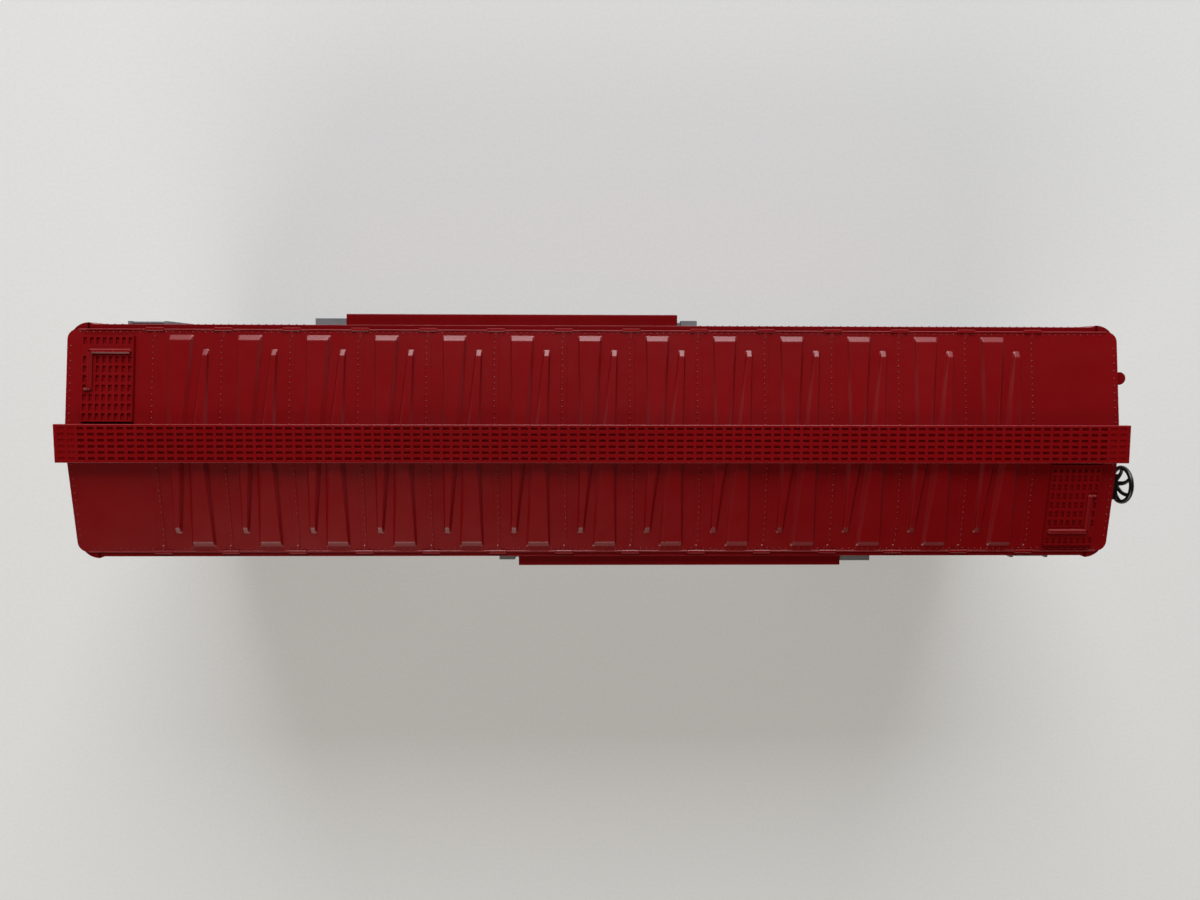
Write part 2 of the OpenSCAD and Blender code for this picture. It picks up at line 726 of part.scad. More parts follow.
// Retainer valve at the top of the end, with its pipe and clips
module retainer_valve() color("#a01418") {
    x = end_face + 2.5;
    y = 16.6;
    translate([x, y, wall_top - 6]) cylinder(h = 5.4, r = 1.65);
    translate([x, y, wall_top - 8]) cylinder(h = 2.2, r = 1);
    slab([end_face + 0.02, y - 1, wall_top - 3.4], [x, y + 1, wall_top - 1.4]);
    translate([x, y, deck_bottom + 1]) cylinder(h = wall_top - 8 - deck_bottom, r = 0.4);
    slab([end_face + 0.02, y - 0.4, deck_bottom + 1.6], [x, y + 0.4, deck_bottom + 2.6]);
}

// ---- Couplers ----

// Draft-gear box, open below and at its mouth, with the striker and the pivot post
module coupler_box() {
    difference() {
        union() {
            slab([box_back, -box_half, cavity_z0], [box_front + eps, box_half, deck_bottom]);
            slab([box_front, -striker_half, cavity_z0 - lid_t],
                [box_front + striker_t, striker_half, deck_bottom + 1.6]);
        }
        slab([box_back + box_wall, -cavity_half, cavity_z0 - 2],
            [box_front + striker_t + 1, cavity_half, cavity_z1]);
    }
    difference() {
        translate([pivot_x, 0, cavity_z0]) cylinder(h = cavity_z1 - cavity_z0 + eps, r = post_r);
        translate([pivot_x, 0, cavity_z0 - 1]) cylinder(h = 3.6, r = box_screw_r + fast);
    }
}

module coupler_lid() difference() {
    slab([box_back, -box_half, cavity_z0 - lid_t], [box_front - 0.02, box_half, cavity_z0]);
    translate([pivot_x, 0, cavity_z0 - 2]) cylinder(h = 4, r = box_screw_r + 0.1);
}

module coupler_screw() translate([pivot_x, 0, cavity_z0 - lid_t]) {
    translate([0, 0, -0.8]) cylinder(h = 0.8, r = 1.5);
    translate([0, 0, -eps]) cylinder(h = lid_t + 2.3, r = box_screw_r);
}

// Shank and head, with the lugs that hold the knuckle
module coupler() difference() {
    union() {
        slab([pivot_x, -shank_half, shank_z - shank_t / 2], [head_x + 1, shank_half, shank_z + shank_t / 2]);
        translate([pivot_x, 0, shank_z - shank_t / 2]) cylinder(h = shank_t, r = 2.6);
        translate([head_x, 0, shank_z - head_half_h]) linear_extrude(2 * head_half_h) polygon([
            [0, -1.8], [1.6, -3.9], [4.2, -4.8], [7.6, -5.4], [7.9, -4.4], [5, -3.4], [3.4, -1.6],
            [3, 1], [3.6, 1.6], [5.3, 2.5], [5.3, 4], [4.2, 4.8], [2.2, 4.6], [1, 3.4], [0, 1.8]]);
    }
    translate([pivot_x, 0, shank_z - 4]) cylinder(h = 8, r = post_r + running);
    // Room for the knuckle between its lugs
    translate([pin_x, pin_y, shank_z - lug_half_h - gap]) {
        cylinder(h = 2 * (lug_half_h + gap), r = knuckle_r + gap);
        translate([-0.6, -3, 0]) cube([6, 9, 2 * (lug_half_h + gap)]);
    }
}

// The knuckle turns with its pin, which runs in the lugs
module coupler_with_pin_bores() difference() {
    coupler();
    translate([pin_x, pin_y, shank_z - 4]) cylinder(h = 8, r = pin_r + running);
}

module knuckle() translate([pin_x, pin_y, 0]) {
    translate([0, 0, shank_z - lug_half_h]) cylinder(h = 2 * lug_half_h, r = knuckle_r);
    translate([0, 0, shank_z - lug_half_h]) linear_extrude(2 * lug_half_h)
        polygon([[0, knuckle_r], [2.4, 0.5], [3.6, -1.4], [3.4, -3.4], [2.2, -3.6], [1.4, -1.9],
            [-0.2, -knuckle_r]]);
    translate([0, 0, shank_z - head_half_h]) linear_extrude(2 * head_half_h)
        polygon([[2.5, 0.2], [3.6, -1.4], [3.4, -3.4], [2.4, -3.6], [2, -2.4]]);
    translate([0, 0, shank_z - head_half_h - 0.2]) cylinder(h = 2 * head_half_h + 0.4, r = pin_r);
}

module coupler_box_a() color("#202022") turned() coupler_box();
module coupler_box_b() color("#202022") coupler_box();
module coupler_lids() color("#202022") both_ways() coupler_lid();
module coupler_screws() color("#b9bcc0") both_ways() coupler_screw();
module coupler_a() color("#2a2826") turned() coupler_with_pin_bores();
module coupler_b() color("#2a2826") coupler_with_pin_bores();
module knuckle_a() color("#2a2826") turned() knuckle();
module knuckle_b() color("#2a2826") knuckle();

// ---- Trucks ----

// Cross beam of a truck with its centre plate; both are open to the truck screw
module truck_bolster() difference() {
    union() {
        slab([-truck_bolster_half, -frame_in - frame_t, axle_z - 0.2],
            [truck_bolster_half, frame_in + frame_t, axle_z + 3.4]);
        translate([0, 0, axle_z]) cylinder(h = plate_rise, r = plate_r);
    }
    cylinder(h = 40, r = king_r + running);
}

// Side frame: an arch over the axles with a window for the bolster and its springs
module side_frame() difference() {
    union() {
        translate([0, frame_in + frame_t, axle_z]) rotate([90, 0, 0]) linear_extrude(frame_t) {
            journal = wheelbase / 2;
            difference() {
                polygon([[-journal - 4.4, 3.3], [-journal + 4.6, 6.2], [journal - 4.6, 6.2],
                    [journal + 4.4, 3.3], [journal + 4.4, -2.4], [journal - 2.9, -2.9], [7.6, -6],
                    [-7.6, -6], [-journal + 2.9, -2.9], [-journal - 4.4, -2.4]]);
                translate([-window_half, -window_z]) square([2 * window_half, 2 * window_z]);
                for (s = [0, 1]) mirror([s, 0])
                    polygon([[6.4, 3.8], [journal - 4.8, 3.4], [journal - 4.6, 0], [6.4, -3.2]]);
            }
        }
        for (s = [-1, 1]) slab([s * wheelbase / 2 - 2.7, frame_in, axle_z - 3],
            [s * wheelbase / 2 + 2.7, frame_in + frame_t + journal_out, axle_z + 3]);
    }
    for (s = [-1, 1])
        bar_y([s * wheelbase / 2, frame_in, axle_z], 2 * journal_deep, axle_r + running);
}

module truck_sides() for (s = [0, 1]) mirror([0, s, 0]) side_frame();

// Coil springs between the side frame and the end of the bolster
module truck_springs() for (sx = [-1, 1], sy = [-1, 1])
    translate([sx * 1.8, sy * (frame_in + frame_t / 2), axle_z - window_z])
        cylinder(h = window_z - 0.2, r = spring_r);

// A pair of wheels, turned about the axle: flange, tread and dished plate
module wheel_pair(x) translate([x, 0, axle_z]) for (s = [0, 1]) mirror([0, s, 0])
    translate([0, wheel_in, 0]) rotate([-90, 0, 0]) rotate_extrude() {
        tread = wheel_d / 2;
        polygon([[axle_r + fast, 0], [2.6, 0], [3.2, 0.9], [tread - 2.2, 0.9], [tread - 1.5, 0],
            [tread + flange_h - 0.3, 0], [tread + flange_h, 0.3], [tread + flange_h, 0.6],
            [tread + 0.1, flange_t], [tread, wheel_w], [tread - 1.6, wheel_w],
            [tread - 2.2, wheel_w - 0.9], [3.2, wheel_w - 1.1], [2.6, wheel_w], [axle_r + fast, wheel_w]]);
    }

module axle(x) bar_y([x, 0, axle_z], 2 * (frame_in + journal_deep - 0.2), axle_r);

module truck_bolster_a() color("#202022") translate([-truck_x, 0, 0]) truck_bolster();
module truck_bolster_b() color("#202022") translate([truck_x, 0, 0]) truck_bolster();
module truck_sides_a() color("#202022") translate([-truck_x, 0, 0]) truck_sides();
module truck_sides_b() color("#202022") translate([truck_x, 0, 0]) truck_sides();
module truck_springs_a() color("#2a2826") translate([-truck_x, 0, 0]) truck_springs();
module truck_springs_b() color("#2a2826") translate([truck_x, 0, 0]) truck_springs();
module wheels(i) color("#5c5a58") wheel_pair(axle_x(i));
module axle_bar(i) color("#9a9da2") axle(axle_x(i));

// ---- Nodes ----

roof();
side_left();
side_right();
end_a();
end_b();
floor();
weight_plate();
centre_sill();
crossbearers();
body_bolsters();
running_board();
lateral_board_a();
lateral_board_b();
door_hood_left();
door_hood_right();
door_rail_left();
door_rail_right();
door_track_left();
door_track_right();
side_ladder_left();
side_ladder_right();
end_ladder_a();
end_ladder_b();
grab_irons();
stirrup_steps();
brake_housing();
brake_step();
brake_rod();
retainer_valve();
brake_cylinder();
air_reservoir();
control_valve();
brake_rigging();
coupler_box_a();
coupler_box_b();
coupler_lids();
coupler_screws();
truck_screws();
body_screws();
door_left();
door_right();
brake_wheel();
coupler_a();
coupler_b();
knuckle_a();
knuckle_b();
truck_bolster_a();
truck_bolster_b();
truck_sides_a();
truck_sides_b();
truck_springs_a();
truck_springs_b();
wheels(0);  // wheels_1
wheels(1);  // wheels_2
wheels(2);  // wheels_3
wheels(3);  // wheels_4
axle_bar(0);  // axle_1
axle_bar(1);  // axle_2
axle_bar(2);  // axle_3
axle_bar(3);  // axle_4
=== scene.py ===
# %% [markdown]
# # A red forty-foot box car at 1:48
#
# A model railway car is moulded in coloured plastic and stands on metal wheels. What the eye knows it by is the
# roof: pressed panels with slanting ribs, seams with rows of rivets, and a pierced running board along the ridge.
# The imported CAD model is the frame that every piece is built around, so it is loaded first.

# %% Load the frame
import json
import bpy
import bmesh
import numpy as np
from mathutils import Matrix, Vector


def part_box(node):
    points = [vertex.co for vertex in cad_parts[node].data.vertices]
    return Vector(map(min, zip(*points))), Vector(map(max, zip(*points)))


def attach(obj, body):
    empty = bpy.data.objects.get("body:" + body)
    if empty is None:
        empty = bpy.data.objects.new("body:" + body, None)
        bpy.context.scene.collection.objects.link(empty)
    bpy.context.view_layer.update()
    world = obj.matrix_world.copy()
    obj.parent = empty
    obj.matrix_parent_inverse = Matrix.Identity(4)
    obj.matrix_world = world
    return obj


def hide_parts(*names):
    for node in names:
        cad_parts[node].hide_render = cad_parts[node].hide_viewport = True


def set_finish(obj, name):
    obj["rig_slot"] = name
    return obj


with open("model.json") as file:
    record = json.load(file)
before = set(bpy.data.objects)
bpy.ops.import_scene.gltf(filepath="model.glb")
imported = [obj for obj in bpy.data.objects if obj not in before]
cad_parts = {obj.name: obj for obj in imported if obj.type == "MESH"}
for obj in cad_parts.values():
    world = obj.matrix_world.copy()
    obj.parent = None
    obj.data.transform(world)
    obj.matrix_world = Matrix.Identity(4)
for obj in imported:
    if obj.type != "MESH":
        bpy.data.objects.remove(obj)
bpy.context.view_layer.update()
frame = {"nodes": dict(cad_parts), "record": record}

# %% [markdown]
# ## Sizes that the looks share
#
# The CAD model fixes the places. They could be typed in again as numbers, but a changed part would leave its details
# behind, so they are read from the boxes of its nodes. Only sizes that a box can't give, such as the pitch of the
# rivets or the height of a seam, are written here.

# %% Measures from the frame
MM = 0.001


def box_of(node):
    """The lowest and highest corner of a CAD node, as two numpy arrays in metres."""
    low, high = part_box(node)
    return np.array(low), np.array(high)


roof_low, roof_high = box_of("roof")
board_low, board_high = box_of("running_board")
end_low, end_high = box_of("end_b")
side_low, side_high = box_of("side_left")
side_strip = 0.25 * MM  # how far the raised seams stand out of a side sheet
eave_shelf = 1.25 * MM  # how far the roof sheet stays inside the sides
eave_edge, board_gap = 0.4 * MM, 0.5 * MM
half_len = roof_high[0]
half_w = side_high[1] - side_strip
sheet_half = half_w - eave_shelf
seat_z = roof_low[2]
eave_z = seat_z + eave_edge
ridge_z = board_low[2] - board_gap
slope = np.arctan2(ridge_z - eave_z, sheet_half)
slope_len = sheet_half / np.cos(slope)
seam_count, seam_pitch = 14, 17.15 * MM
seams = (np.arange(seam_count) - (seam_count - 1) / 2) * seam_pitch
rivet_pitch = 1.9 * MM
print(f"roof: {2000 * half_len:.1f} mm long, slope {np.degrees(slope):.1f} degrees, {len(seams)} seams")

# %% [markdown]
# ## From arrays to meshes
#
# A piece could be modelled by hand with Blender's editing tools, or built by adding one vertex at a time. Here it is
# worked out as whole numpy arrays, which is quick and can be changed by one number. A patch is a pair: an array of
# points and a list of face arrays. Patches are repeated, moved and joined as arrays, and only the last step makes a
# Blender mesh of them.

# %% Patches of mesh
def grid_faces(rows, cols, wrap_rows=False, wrap_cols=False):
    """Quads of a rows by cols grid of points: each joins a point, its right neighbour and the two below them."""
    r = np.arange(rows if wrap_rows else rows - 1)[:, None]
    c = np.arange(cols if wrap_cols else cols - 1)[None, :]
    r2, c2 = (r + 1) % rows, (c + 1) % cols
    quads = np.stack([r * cols + c, r * cols + c2, r2 * cols + c2, r2 * cols + c], axis=-1)
    return quads.reshape(-1, 4)


def joined(patches):
    """One patch from many: points in a row, faces counted on from the points before them."""
    points, faces, start = [], [], 0
    for pts, face_sets in patches:
        points.append(pts)
        faces += [f + start for f in face_sets]
        start += len(pts)
    return np.concatenate(points), faces


def repeated(patch, places, turns=None):
    """A copy of a patch at each place. turns is one 3 by 3 matrix for all, or one for each."""
    pts, face_sets = patch
    places = np.asarray(places, float)
    turned = pts if turns is None else pts @ np.swapaxes(np.asarray(turns, float), -1, -2)
    everywhere = (turned[None] if turned.ndim == 2 else turned) + places[:, None, :]
    shift = (np.arange(len(places)) * len(pts))[:, None, None]
    return everywhere.reshape(-1, 3), [(f[None] + shift).reshape(-1, f.shape[1]) for f in face_sets]


print("a grid of 4 by 3 points has", len(grid_faces(4, 3)), "faces, and", len(grid_faces(4, 3, wrap_cols=True)),
      "when its columns close to a ring")

# %% [markdown]
# Most pieces are closed skins, and nearly all of them are one of two kinds. A bar, a rib or a turned shape is a row of
# rings with a lid at both ends. A sheet, a door or an end is a plate between two surfaces. Both could be an open
# surface with a Solidify modifier, but here the inside has a shape of its own, so both skins are worked out.

# %% Closed skins
def loft(rings):
    """A closed skin over rings of points, each carried on to the next, with a flat lid on the first and the last."""
    rings = np.asarray(rings, float)
    count, around, _ = rings.shape
    middle = rings[[0, -1]].mean(axis=1)
    k = np.arange(around)
    first, last = count * around, count * around + 1
    low = np.stack([(k + 1) % around, k, np.full(around, first)], axis=1)
    high = np.stack([k + (count - 1) * around, (k + 1) % around + (count - 1) * around,
                     np.full(around, last)], axis=1)
    return np.concatenate([rings.reshape(-1, 3), middle]), [
        grid_faces(count, around, wrap_cols=True), low, high]


def thick(top, bottom):
    """A closed plate between two surfaces on the same grid: both skins and the four walls that join their rims."""
    rows, cols, _ = top.shape
    n = rows * cols
    skin = grid_faces(rows, cols)
    index = np.arange(n).reshape(rows, cols)
    rim = np.concatenate([index[0, :-1], index[:-1, -1], index[-1, :0:-1], index[:0:-1, 0]])
    after = np.roll(rim, -1)
    wall = np.stack([after, rim, rim + n, after + n], axis=1)
    return np.concatenate([top.reshape(-1, 3), bottom.reshape(-1, 3)]), [skin, skin[:, ::-1] + n, wall]


print("lofting 4 rings of 8 points makes", sum(len(f) for f in loft(np.zeros((4, 8, 3)))[1]), "faces")

# %% [markdown]
# A patch becomes an object here. Its object stays at the origin with its place in its mesh, as a CAD node's does.
# Normals are worked out afresh, because a patch wound the wrong way is inside out, and edges sharper than a given
# angle stay crisp. A Subdivision modifier could round the shapes instead, but it would melt the small sharp ones.

# %% From a patch to a piece
record = frame["record"]
body_of = {node: body for body, nodes in record["behaviour"]["bodies"].items() for node in nodes}
slot_of = {part["node"]: part["material_slot"] for part in record["subparts"]}
faces_made = {}


def finished(name, mesh, body, slot, replaces=(), sharp=40, bevel=0):
    """Makes an object of a mesh: smooth faces, crisp edges above sharp degrees, and edges rounded by bevel metres."""
    mesh.shade_smooth()
    mesh.set_sharp_from_angle(angle=np.radians(sharp))
    obj = bpy.data.objects.new(name, mesh)
    bpy.context.scene.collection.objects.link(obj)
    if bevel:
        rounding = obj.modifiers.new("rounded edges", "BEVEL")
        rounding.width = bevel
        rounding.segments = 2
        rounding.limit_method = "ANGLE"
        rounding.angle_limit = np.radians(sharp)
        rounding.harden_normals = True
    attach(obj, body)
    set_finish(obj, slot)
    if replaces:
        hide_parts(*replaces)
    faces_made[name] = len(mesh.polygons)
    return obj


def piece(name, patch, body, slot, **finish):
    """A mesh object made of a patch, its doubled points merged and its faces turned outwards."""
    pts, face_sets = patch
    mesh = bpy.data.meshes.new(name)
    sizes = np.concatenate([np.full(len(f), f.shape[1]) for f in face_sets])
    corners = np.concatenate([f.ravel() for f in face_sets]).astype(np.int32)
    mesh.vertices.add(len(pts))
    mesh.vertices.foreach_set("co", np.asarray(pts, np.float32).ravel())
    mesh.loops.add(len(corners))
    mesh.loops.foreach_set("vertex_index", corners)
    mesh.polygons.add(len(sizes))
    mesh.polygons.foreach_set("loop_start", (np.cumsum(sizes) - sizes).astype(np.int32))
    mesh.update(calc_edges=True)
    tidy = bmesh.new()
    tidy.from_mesh(mesh)
    bmesh.ops.remove_doubles(tidy, verts=tidy.verts, dist=0.2e-6)
    bmesh.ops.recalc_face_normals(tidy, faces=tidy.faces)
    tidy.to_mesh(mesh)
    tidy.free()
    return finished(name, mesh, body, slot, **finish)


print("bodies to ride on:", sorted(set(body_of.values())))

# %% [markdown]
# ## The roof's own directions
#
# Both slopes carry the same stamping, half a turn apart. Each piece could be built flat and then rotated as an
# object, but a finished piece must keep its place in its mesh. So a point on the roof is given by x along the car,
# s down the slope from the ridge, and h out of the sheet, and one formula places everything that sits on the roof.

# %% Places on the slope
def on_slope(x, s, h, side=1):
    """x, s and h on the left slope as points: y = s cos a + h sin a, z = ridge - s sin a + h cos a, with a the slope.
    side -1 gives the right slope by half a turn about the middle of the car."""
    x, s, h = np.broadcast_arrays(x, s, h)
    y = s * np.cos(slope) + h * np.sin(slope)
    z = ridge_z - s * np.sin(slope) + h * np.cos(slope)
    return np.stack([side * x, side * y, z], axis=-1)


def slope_turn(side=1):
    """The matrix that carries X along the car, Y down the slope and Z out of the sheet."""
    c, s = np.cos(slope), np.sin(slope)
    return np.array([[side, 0, 0], [0, side * c, side * s], [0, -s, c]])


def crown(distance, width):
    """Height of a rounded edge: 0 at the edge, rising as a quarter of an ellipse to 1 at one width inside it."""
    t = np.clip(distance / width, 0, 1)
    return np.sqrt(1 - (1 - t) ** 2)


print("the left eave lies at", (1000 * on_slope(0, slope_len, 0)).round(2), "mm")

# %% [markdown]
# ## The roof sheet
#
# The roof is one thin moulding that is highest at the ridge. It could be a plain prism, but its corners are round in
# plan. So it is a grid: across the roof the rows follow the two slopes, and along it each row stops where the round
# corner begins. The underside follows the same grid, and at the gables it runs down to the flat seat on the walls.

# %% Roof sheet
corner_r = 2.5 * MM
sheet_t, under_slope = 1.3 * MM, 0.12


def corner_end(y, reach, half, r):
    """How far a plate with round corners reaches along x at distance y from its middle line."""
    over = np.clip(np.abs(y) - (half - r), 0, r)
    return reach - r + np.sqrt(r * r - over * over)


# The rows are drawn for a sheet 28.15 mm to each side, close together round the corner, then stretched to this one.
drawn_half, drawn_r = 28.15, 2.5
round_rows = drawn_half - drawn_r + drawn_r * np.sin(np.linspace(0, np.pi / 2, 9))
across = np.concatenate([[0, 0.6, 8, 16, 22], round_rows]) * MM
across *= sheet_half / across[-1]
across = np.concatenate([-across[:0:-1], across])
along = np.concatenate([[-1, -0.999, -0.994], np.linspace(-0.985, 0.985, 15), [0.994, 0.999, 1]])
ends = corner_end(across, half_len, sheet_half, corner_r)
sheet_x = along[:, None] * ends[None, :]
sheet_y = np.broadcast_to(across, sheet_x.shape)
sheet_z = ridge_z - np.abs(sheet_y) * np.tan(slope)
under_z = np.maximum(seat_z, ridge_z - sheet_t - np.abs(sheet_y) * under_slope)
gable = np.abs(along) > 0.99
under_z = np.where(gable[:, None], seat_z, under_z)
sheet = thick(np.stack([sheet_x, sheet_y, sheet_z], -1), np.stack([sheet_x, sheet_y, under_z], -1))
print("roof sheet:", sheet_x.shape, "points, thinnest", round(1000 * (sheet_z - under_z).min(), 2), "mm")

# %% [markdown]
# ## Pressed ribs
#
# Each panel has a broad rib and a slender one, pressed into the sheet to stiffen it, with a slanting valley between.
# They could be a displaced grid, but that would blur their slanting edges. So each rib is a loft down the slope: every
# ring is a low cross-section with sloping flanks, and the last rings sink evenly, which makes the flat sloping tip
# that catches the light.

# %% Ribs
rib_h, rib_sunk = 0.85 * MM, -0.15 * MM


def swell(t):
    """A soft step from 0 to 1: 3t^2 - 2t^3."""
    t = np.clip(t, 0, 1)
    return t * t * (3 - 2 * t)


def rib(near, tip, left, right, facet, flanks, corner):
    """A rib from s = near to s = tip. left and right give its two x edges at near and at tip. At a distance t from the
    tip the height is t / facet, so the tip is a flat slope. The flanks are flat slopes too, as wide as the two numbers
    in flanks at near and 0.4 times that at the tip. Over the last corner metres the edges draw in by a quarter of a
    circle."""
    t = np.concatenate([np.array([0, 0.06, 0.15, 0.35, 0.6, 0.85, 0.95, 1.05, 1.3]) * facet,
                        np.linspace(2 * facet, tip - near, 8)])
    s = tip - t
    share = t / (tip - near)
    x0 = left[1] + (left[0] - left[1]) * share
    x1 = right[1] + (right[0] - right[1]) * share
    draw = corner * (1 - crown(t, corner))
    x0, x1 = x0 + draw, x1 - draw
    lift = np.minimum(t / facet, 1)
    reach = np.array([0, 0.1, 0.2, 0.8, 0.9, 1, 1.12])
    rise = np.array([0, 0.04, 0.14, 0.86, 0.96, 1, 1])
    spread = (0.4 + 0.6 * share)[:, None]
    xs = np.concatenate([x0[:, None] + flanks[0] * reach * spread,
                         x1[:, None] - flanks[1] * reach[::-1] * spread], axis=1)
    hs = np.concatenate([rise, rise[::-1]])[None, :] * lift[:, None] * rib_h
    x_ring = np.concatenate([xs[:, :1], xs, xs[:, -1:]], axis=1)
    foot = np.full((len(s), 1), rib_sunk)
    h_ring = np.concatenate([foot, hs, foot], axis=1)
    return x_ring, np.broadcast_to(s[:, None], x_ring.shape), h_ring


rib_near = 2.6 * MM
broad = rib(rib_near, slope_len - 1.4 * MM, (3.7 * MM, 3.55 * MM), (8.6 * MM, 9.85 * MM), 1.35 * MM,
            (1.1 * MM, 1.5 * MM), 0.3 * MM)
slender = rib(rib_near, slope_len - 5.0 * MM, (9.3 * MM, 11.9 * MM), (13.5 * MM, 13.75 * MM), 1.6 * MM,
              (1.3 * MM, 0.9 * MM), 0.4 * MM)
ribs = []
for side in (1, -1):
    for seam_x in seams[:-1]:
        for xs, ss, hs in (broad, slender):
            ribs.append(loft(on_slope(seam_x + xs, ss, hs, side)))
print("ribs:", len(ribs))

# %% [markdown]
# ## Seams, caps and rivets
#
# The smallest mouldings are straight bars and round rivet heads. Blender's own cube and sphere could stand for them,
# but a bar needs its chamfer to catch the light, and a rivet is repeated hundreds of times, so it is a low dome of a
# few dozen faces. Rivets could also be drawn by a bump in the material, but then the mesh would be without them.

# %% Bars and domes
def bar(start, end, width, height, chamfer, up=(0, 0, 1)):
    """A straight bar with chamfered corners, from start to end: an eight-sided ring carried along a line."""
    start, end, up = (np.asarray(v, float) for v in (start, end, up))
    ahead = (end - start) / np.linalg.norm(end - start)
    side = np.cross(up, ahead)
    side /= np.linalg.norm(side)
    rise = np.cross(ahead, side)
    w, h, c = width / 2, height / 2, chamfer
    a = np.array([w, w, w - c, -w + c, -w, -w, -w + c, w - c])
    b = np.array([-h + c, h - c, h, h, h - c, -h + c, -h, -h])
    ring = a[:, None] * side + b[:, None] * rise
    shrink = (a[:, None] * side) * (1 - c / w) + (b[:, None] * rise) * (1 - c / h)
    return loft([start + shrink, start + ring + ahead * c, end + ring - ahead * c, end + shrink])


def dome(radius, height, around=8):
    """A rivet head: rings of radius r cos(t) at height h sin(t), closed at the top and sunk a little at the foot."""
    t = np.radians([0, 0, 35, 65])
    r = radius * np.cos(t)
    z = height * np.sin(t)
    z[0] = -0.1 * MM
    turn = np.linspace(0, 2 * np.pi, around, endpoint=False)
    rings = np.stack([r[:, None] * np.cos(turn), r[:, None] * np.sin(turn), np.repeat(z[:, None], around, 1)], -1)
    return loft(rings)


rivet = dome(0.25 * MM, 0.16 * MM)
small_rivet = dome(0.24 * MM, 0.15 * MM)
print("faces of a rivet:", sum(len(f) for f in rivet[1]))

# %% [markdown]
# Neighbouring panels meet under a low strip, with a stem and a cap folded over the eave like a T. A row of rivets runs
# down each strip, and more run along all the edges. An Array modifier could set them out in a row, but one array of
# places does it for both slopes, turned to stand square to the sheet.

# %% Strips and rivets
strip_w, strip_h, strip_lift = 1.6 * MM, 0.2 * MM, 0.1 * MM
cap_half, cap_w, cap_h = 2.3 * MM, 0.9 * MM, 0.6 * MM
stem_len, stem_w, stem_h = 1.65 * MM, 0.8 * MM, 0.5 * MM
strips, roof_rivets = [], []
for side in (1, -1):
    turn = slope_turn(side)
    for seam_x in seams:
        foot, top = on_slope(seam_x, slope_len - 0.25 * MM, 0, side), on_slope(seam_x, 3 * MM, 0, side)
        strips.append(bar(top, foot, strip_w, strip_h, 0.08 * MM, up=turn[:, 2]))
        cap0 = on_slope(seam_x - cap_half, slope_len + 0.02 * MM, strip_lift, side)
        cap1 = on_slope(seam_x + cap_half, slope_len + 0.02 * MM, strip_lift, side)
        strips.append(bar(cap0, cap1, cap_w, cap_h, 0.15 * MM, up=turn[:, 2]))
        stem = on_slope(seam_x, slope_len - 0.25 * MM - stem_len, strip_lift / 2, side)
        strips.append(bar(stem, foot, stem_w, stem_h, 0.2 * MM, up=turn[:, 2]))
        s = np.arange(3.2 * MM, slope_len - 2.6 * MM, 1.5 * MM)
        roof_rivets.append(repeated(small_rivet, on_slope(seam_x - 0.4 * MM, s, strip_lift, side), turn))
    x = np.arange(-half_len + 3.2 * MM, half_len - 3 * MM, 1.65 * MM)
    roof_rivets.append(repeated(small_rivet, on_slope(x, slope_len - 0.8 * MM, 0, side), turn))
    s = np.arange(3.5 * MM, slope_len - 3 * MM, rivet_pitch)
    for end in (-1, 1):
        roof_rivets.append(repeated(small_rivet, on_slope(end * (half_len - 0.9 * MM), s, 0, side), turn))
print("strips, caps and stems:", len(strips), "and rows of rivets:", len(roof_rivets))

# %% [markdown]
# A low raised lip runs along the eaves, and the running board stands on a saddle at each seam. Each could be a piece
# of its own, but on the model all are one moulding with the sheet, so they go into two pieces: the roof and its rivets.

# %% The roof as pieces
lip_end = half_len - 2.6 * MM
lips = []
for side in (1, -1):
    lip0, lip1 = (on_slope(x, slope_len - 0.12 * MM, 0.04 * MM, side) for x in (-lip_end, lip_end))
    lips.append(bar(lip0, lip1, 0.44 * MM, 0.34 * MM, 0.15 * MM))
saddle_half, saddle_w, saddle_sunk = 3.3 * MM, 1.4 * MM, 0.8 * MM
saddle_z, saddle_h = (ridge_z - saddle_sunk + board_low[2]) / 2, board_low[2] - ridge_z + saddle_sunk
saddles = [bar((seam_x, -saddle_half, saddle_z), (seam_x, saddle_half, saddle_z), saddle_w, saddle_h, 0.08 * MM)
           for seam_x in seams]
piece("roof_moulding", joined([sheet, *ribs, *strips, *lips, *saddles]), "car", "body_red", replaces=["roof"])
piece("roof_rivets", joined(roof_rivets), "car", "body_red")
print("roof:", faces_made["roof_moulding"], "faces, and its rivets:", faces_made["roof_rivets"])

# %% [markdown]
# ## Pierced boards
#
# The running board and the corner platforms are gratings that a brakeman can walk on in the wet. The openings could
# be cut out with booleans, but that is slow for hundreds of holes and leaves ragged faces. Each opening is a little
# blind well with a chamfered rim, so one cell is worked out and repeated, and a plain frame closes the plate round
# the cells.

# %% Gratings
def well(pitch, hole, depth):
    """One cell of a grating, its top at z = 0: a frame out to the pitch, a chamfered rim, four walls and a floor."""
    corner = np.array([[-1, -1], [1, -1], [1, 1], [-1, 1]]) / 2
    rim = 0.1 * MM
    outlines = [(np.array(pitch), 0), (np.array(hole) + rim, 0), (np.array(hole), -rim), (np.array(hole), -depth)]
    pts = np.concatenate([np.column_stack([corner * size, np.full(4, z)]) for size, z in outlines])
    return pts, [grid_faces(4, 4, wrap_cols=True), np.array([[12, 13, 14, 15]])]


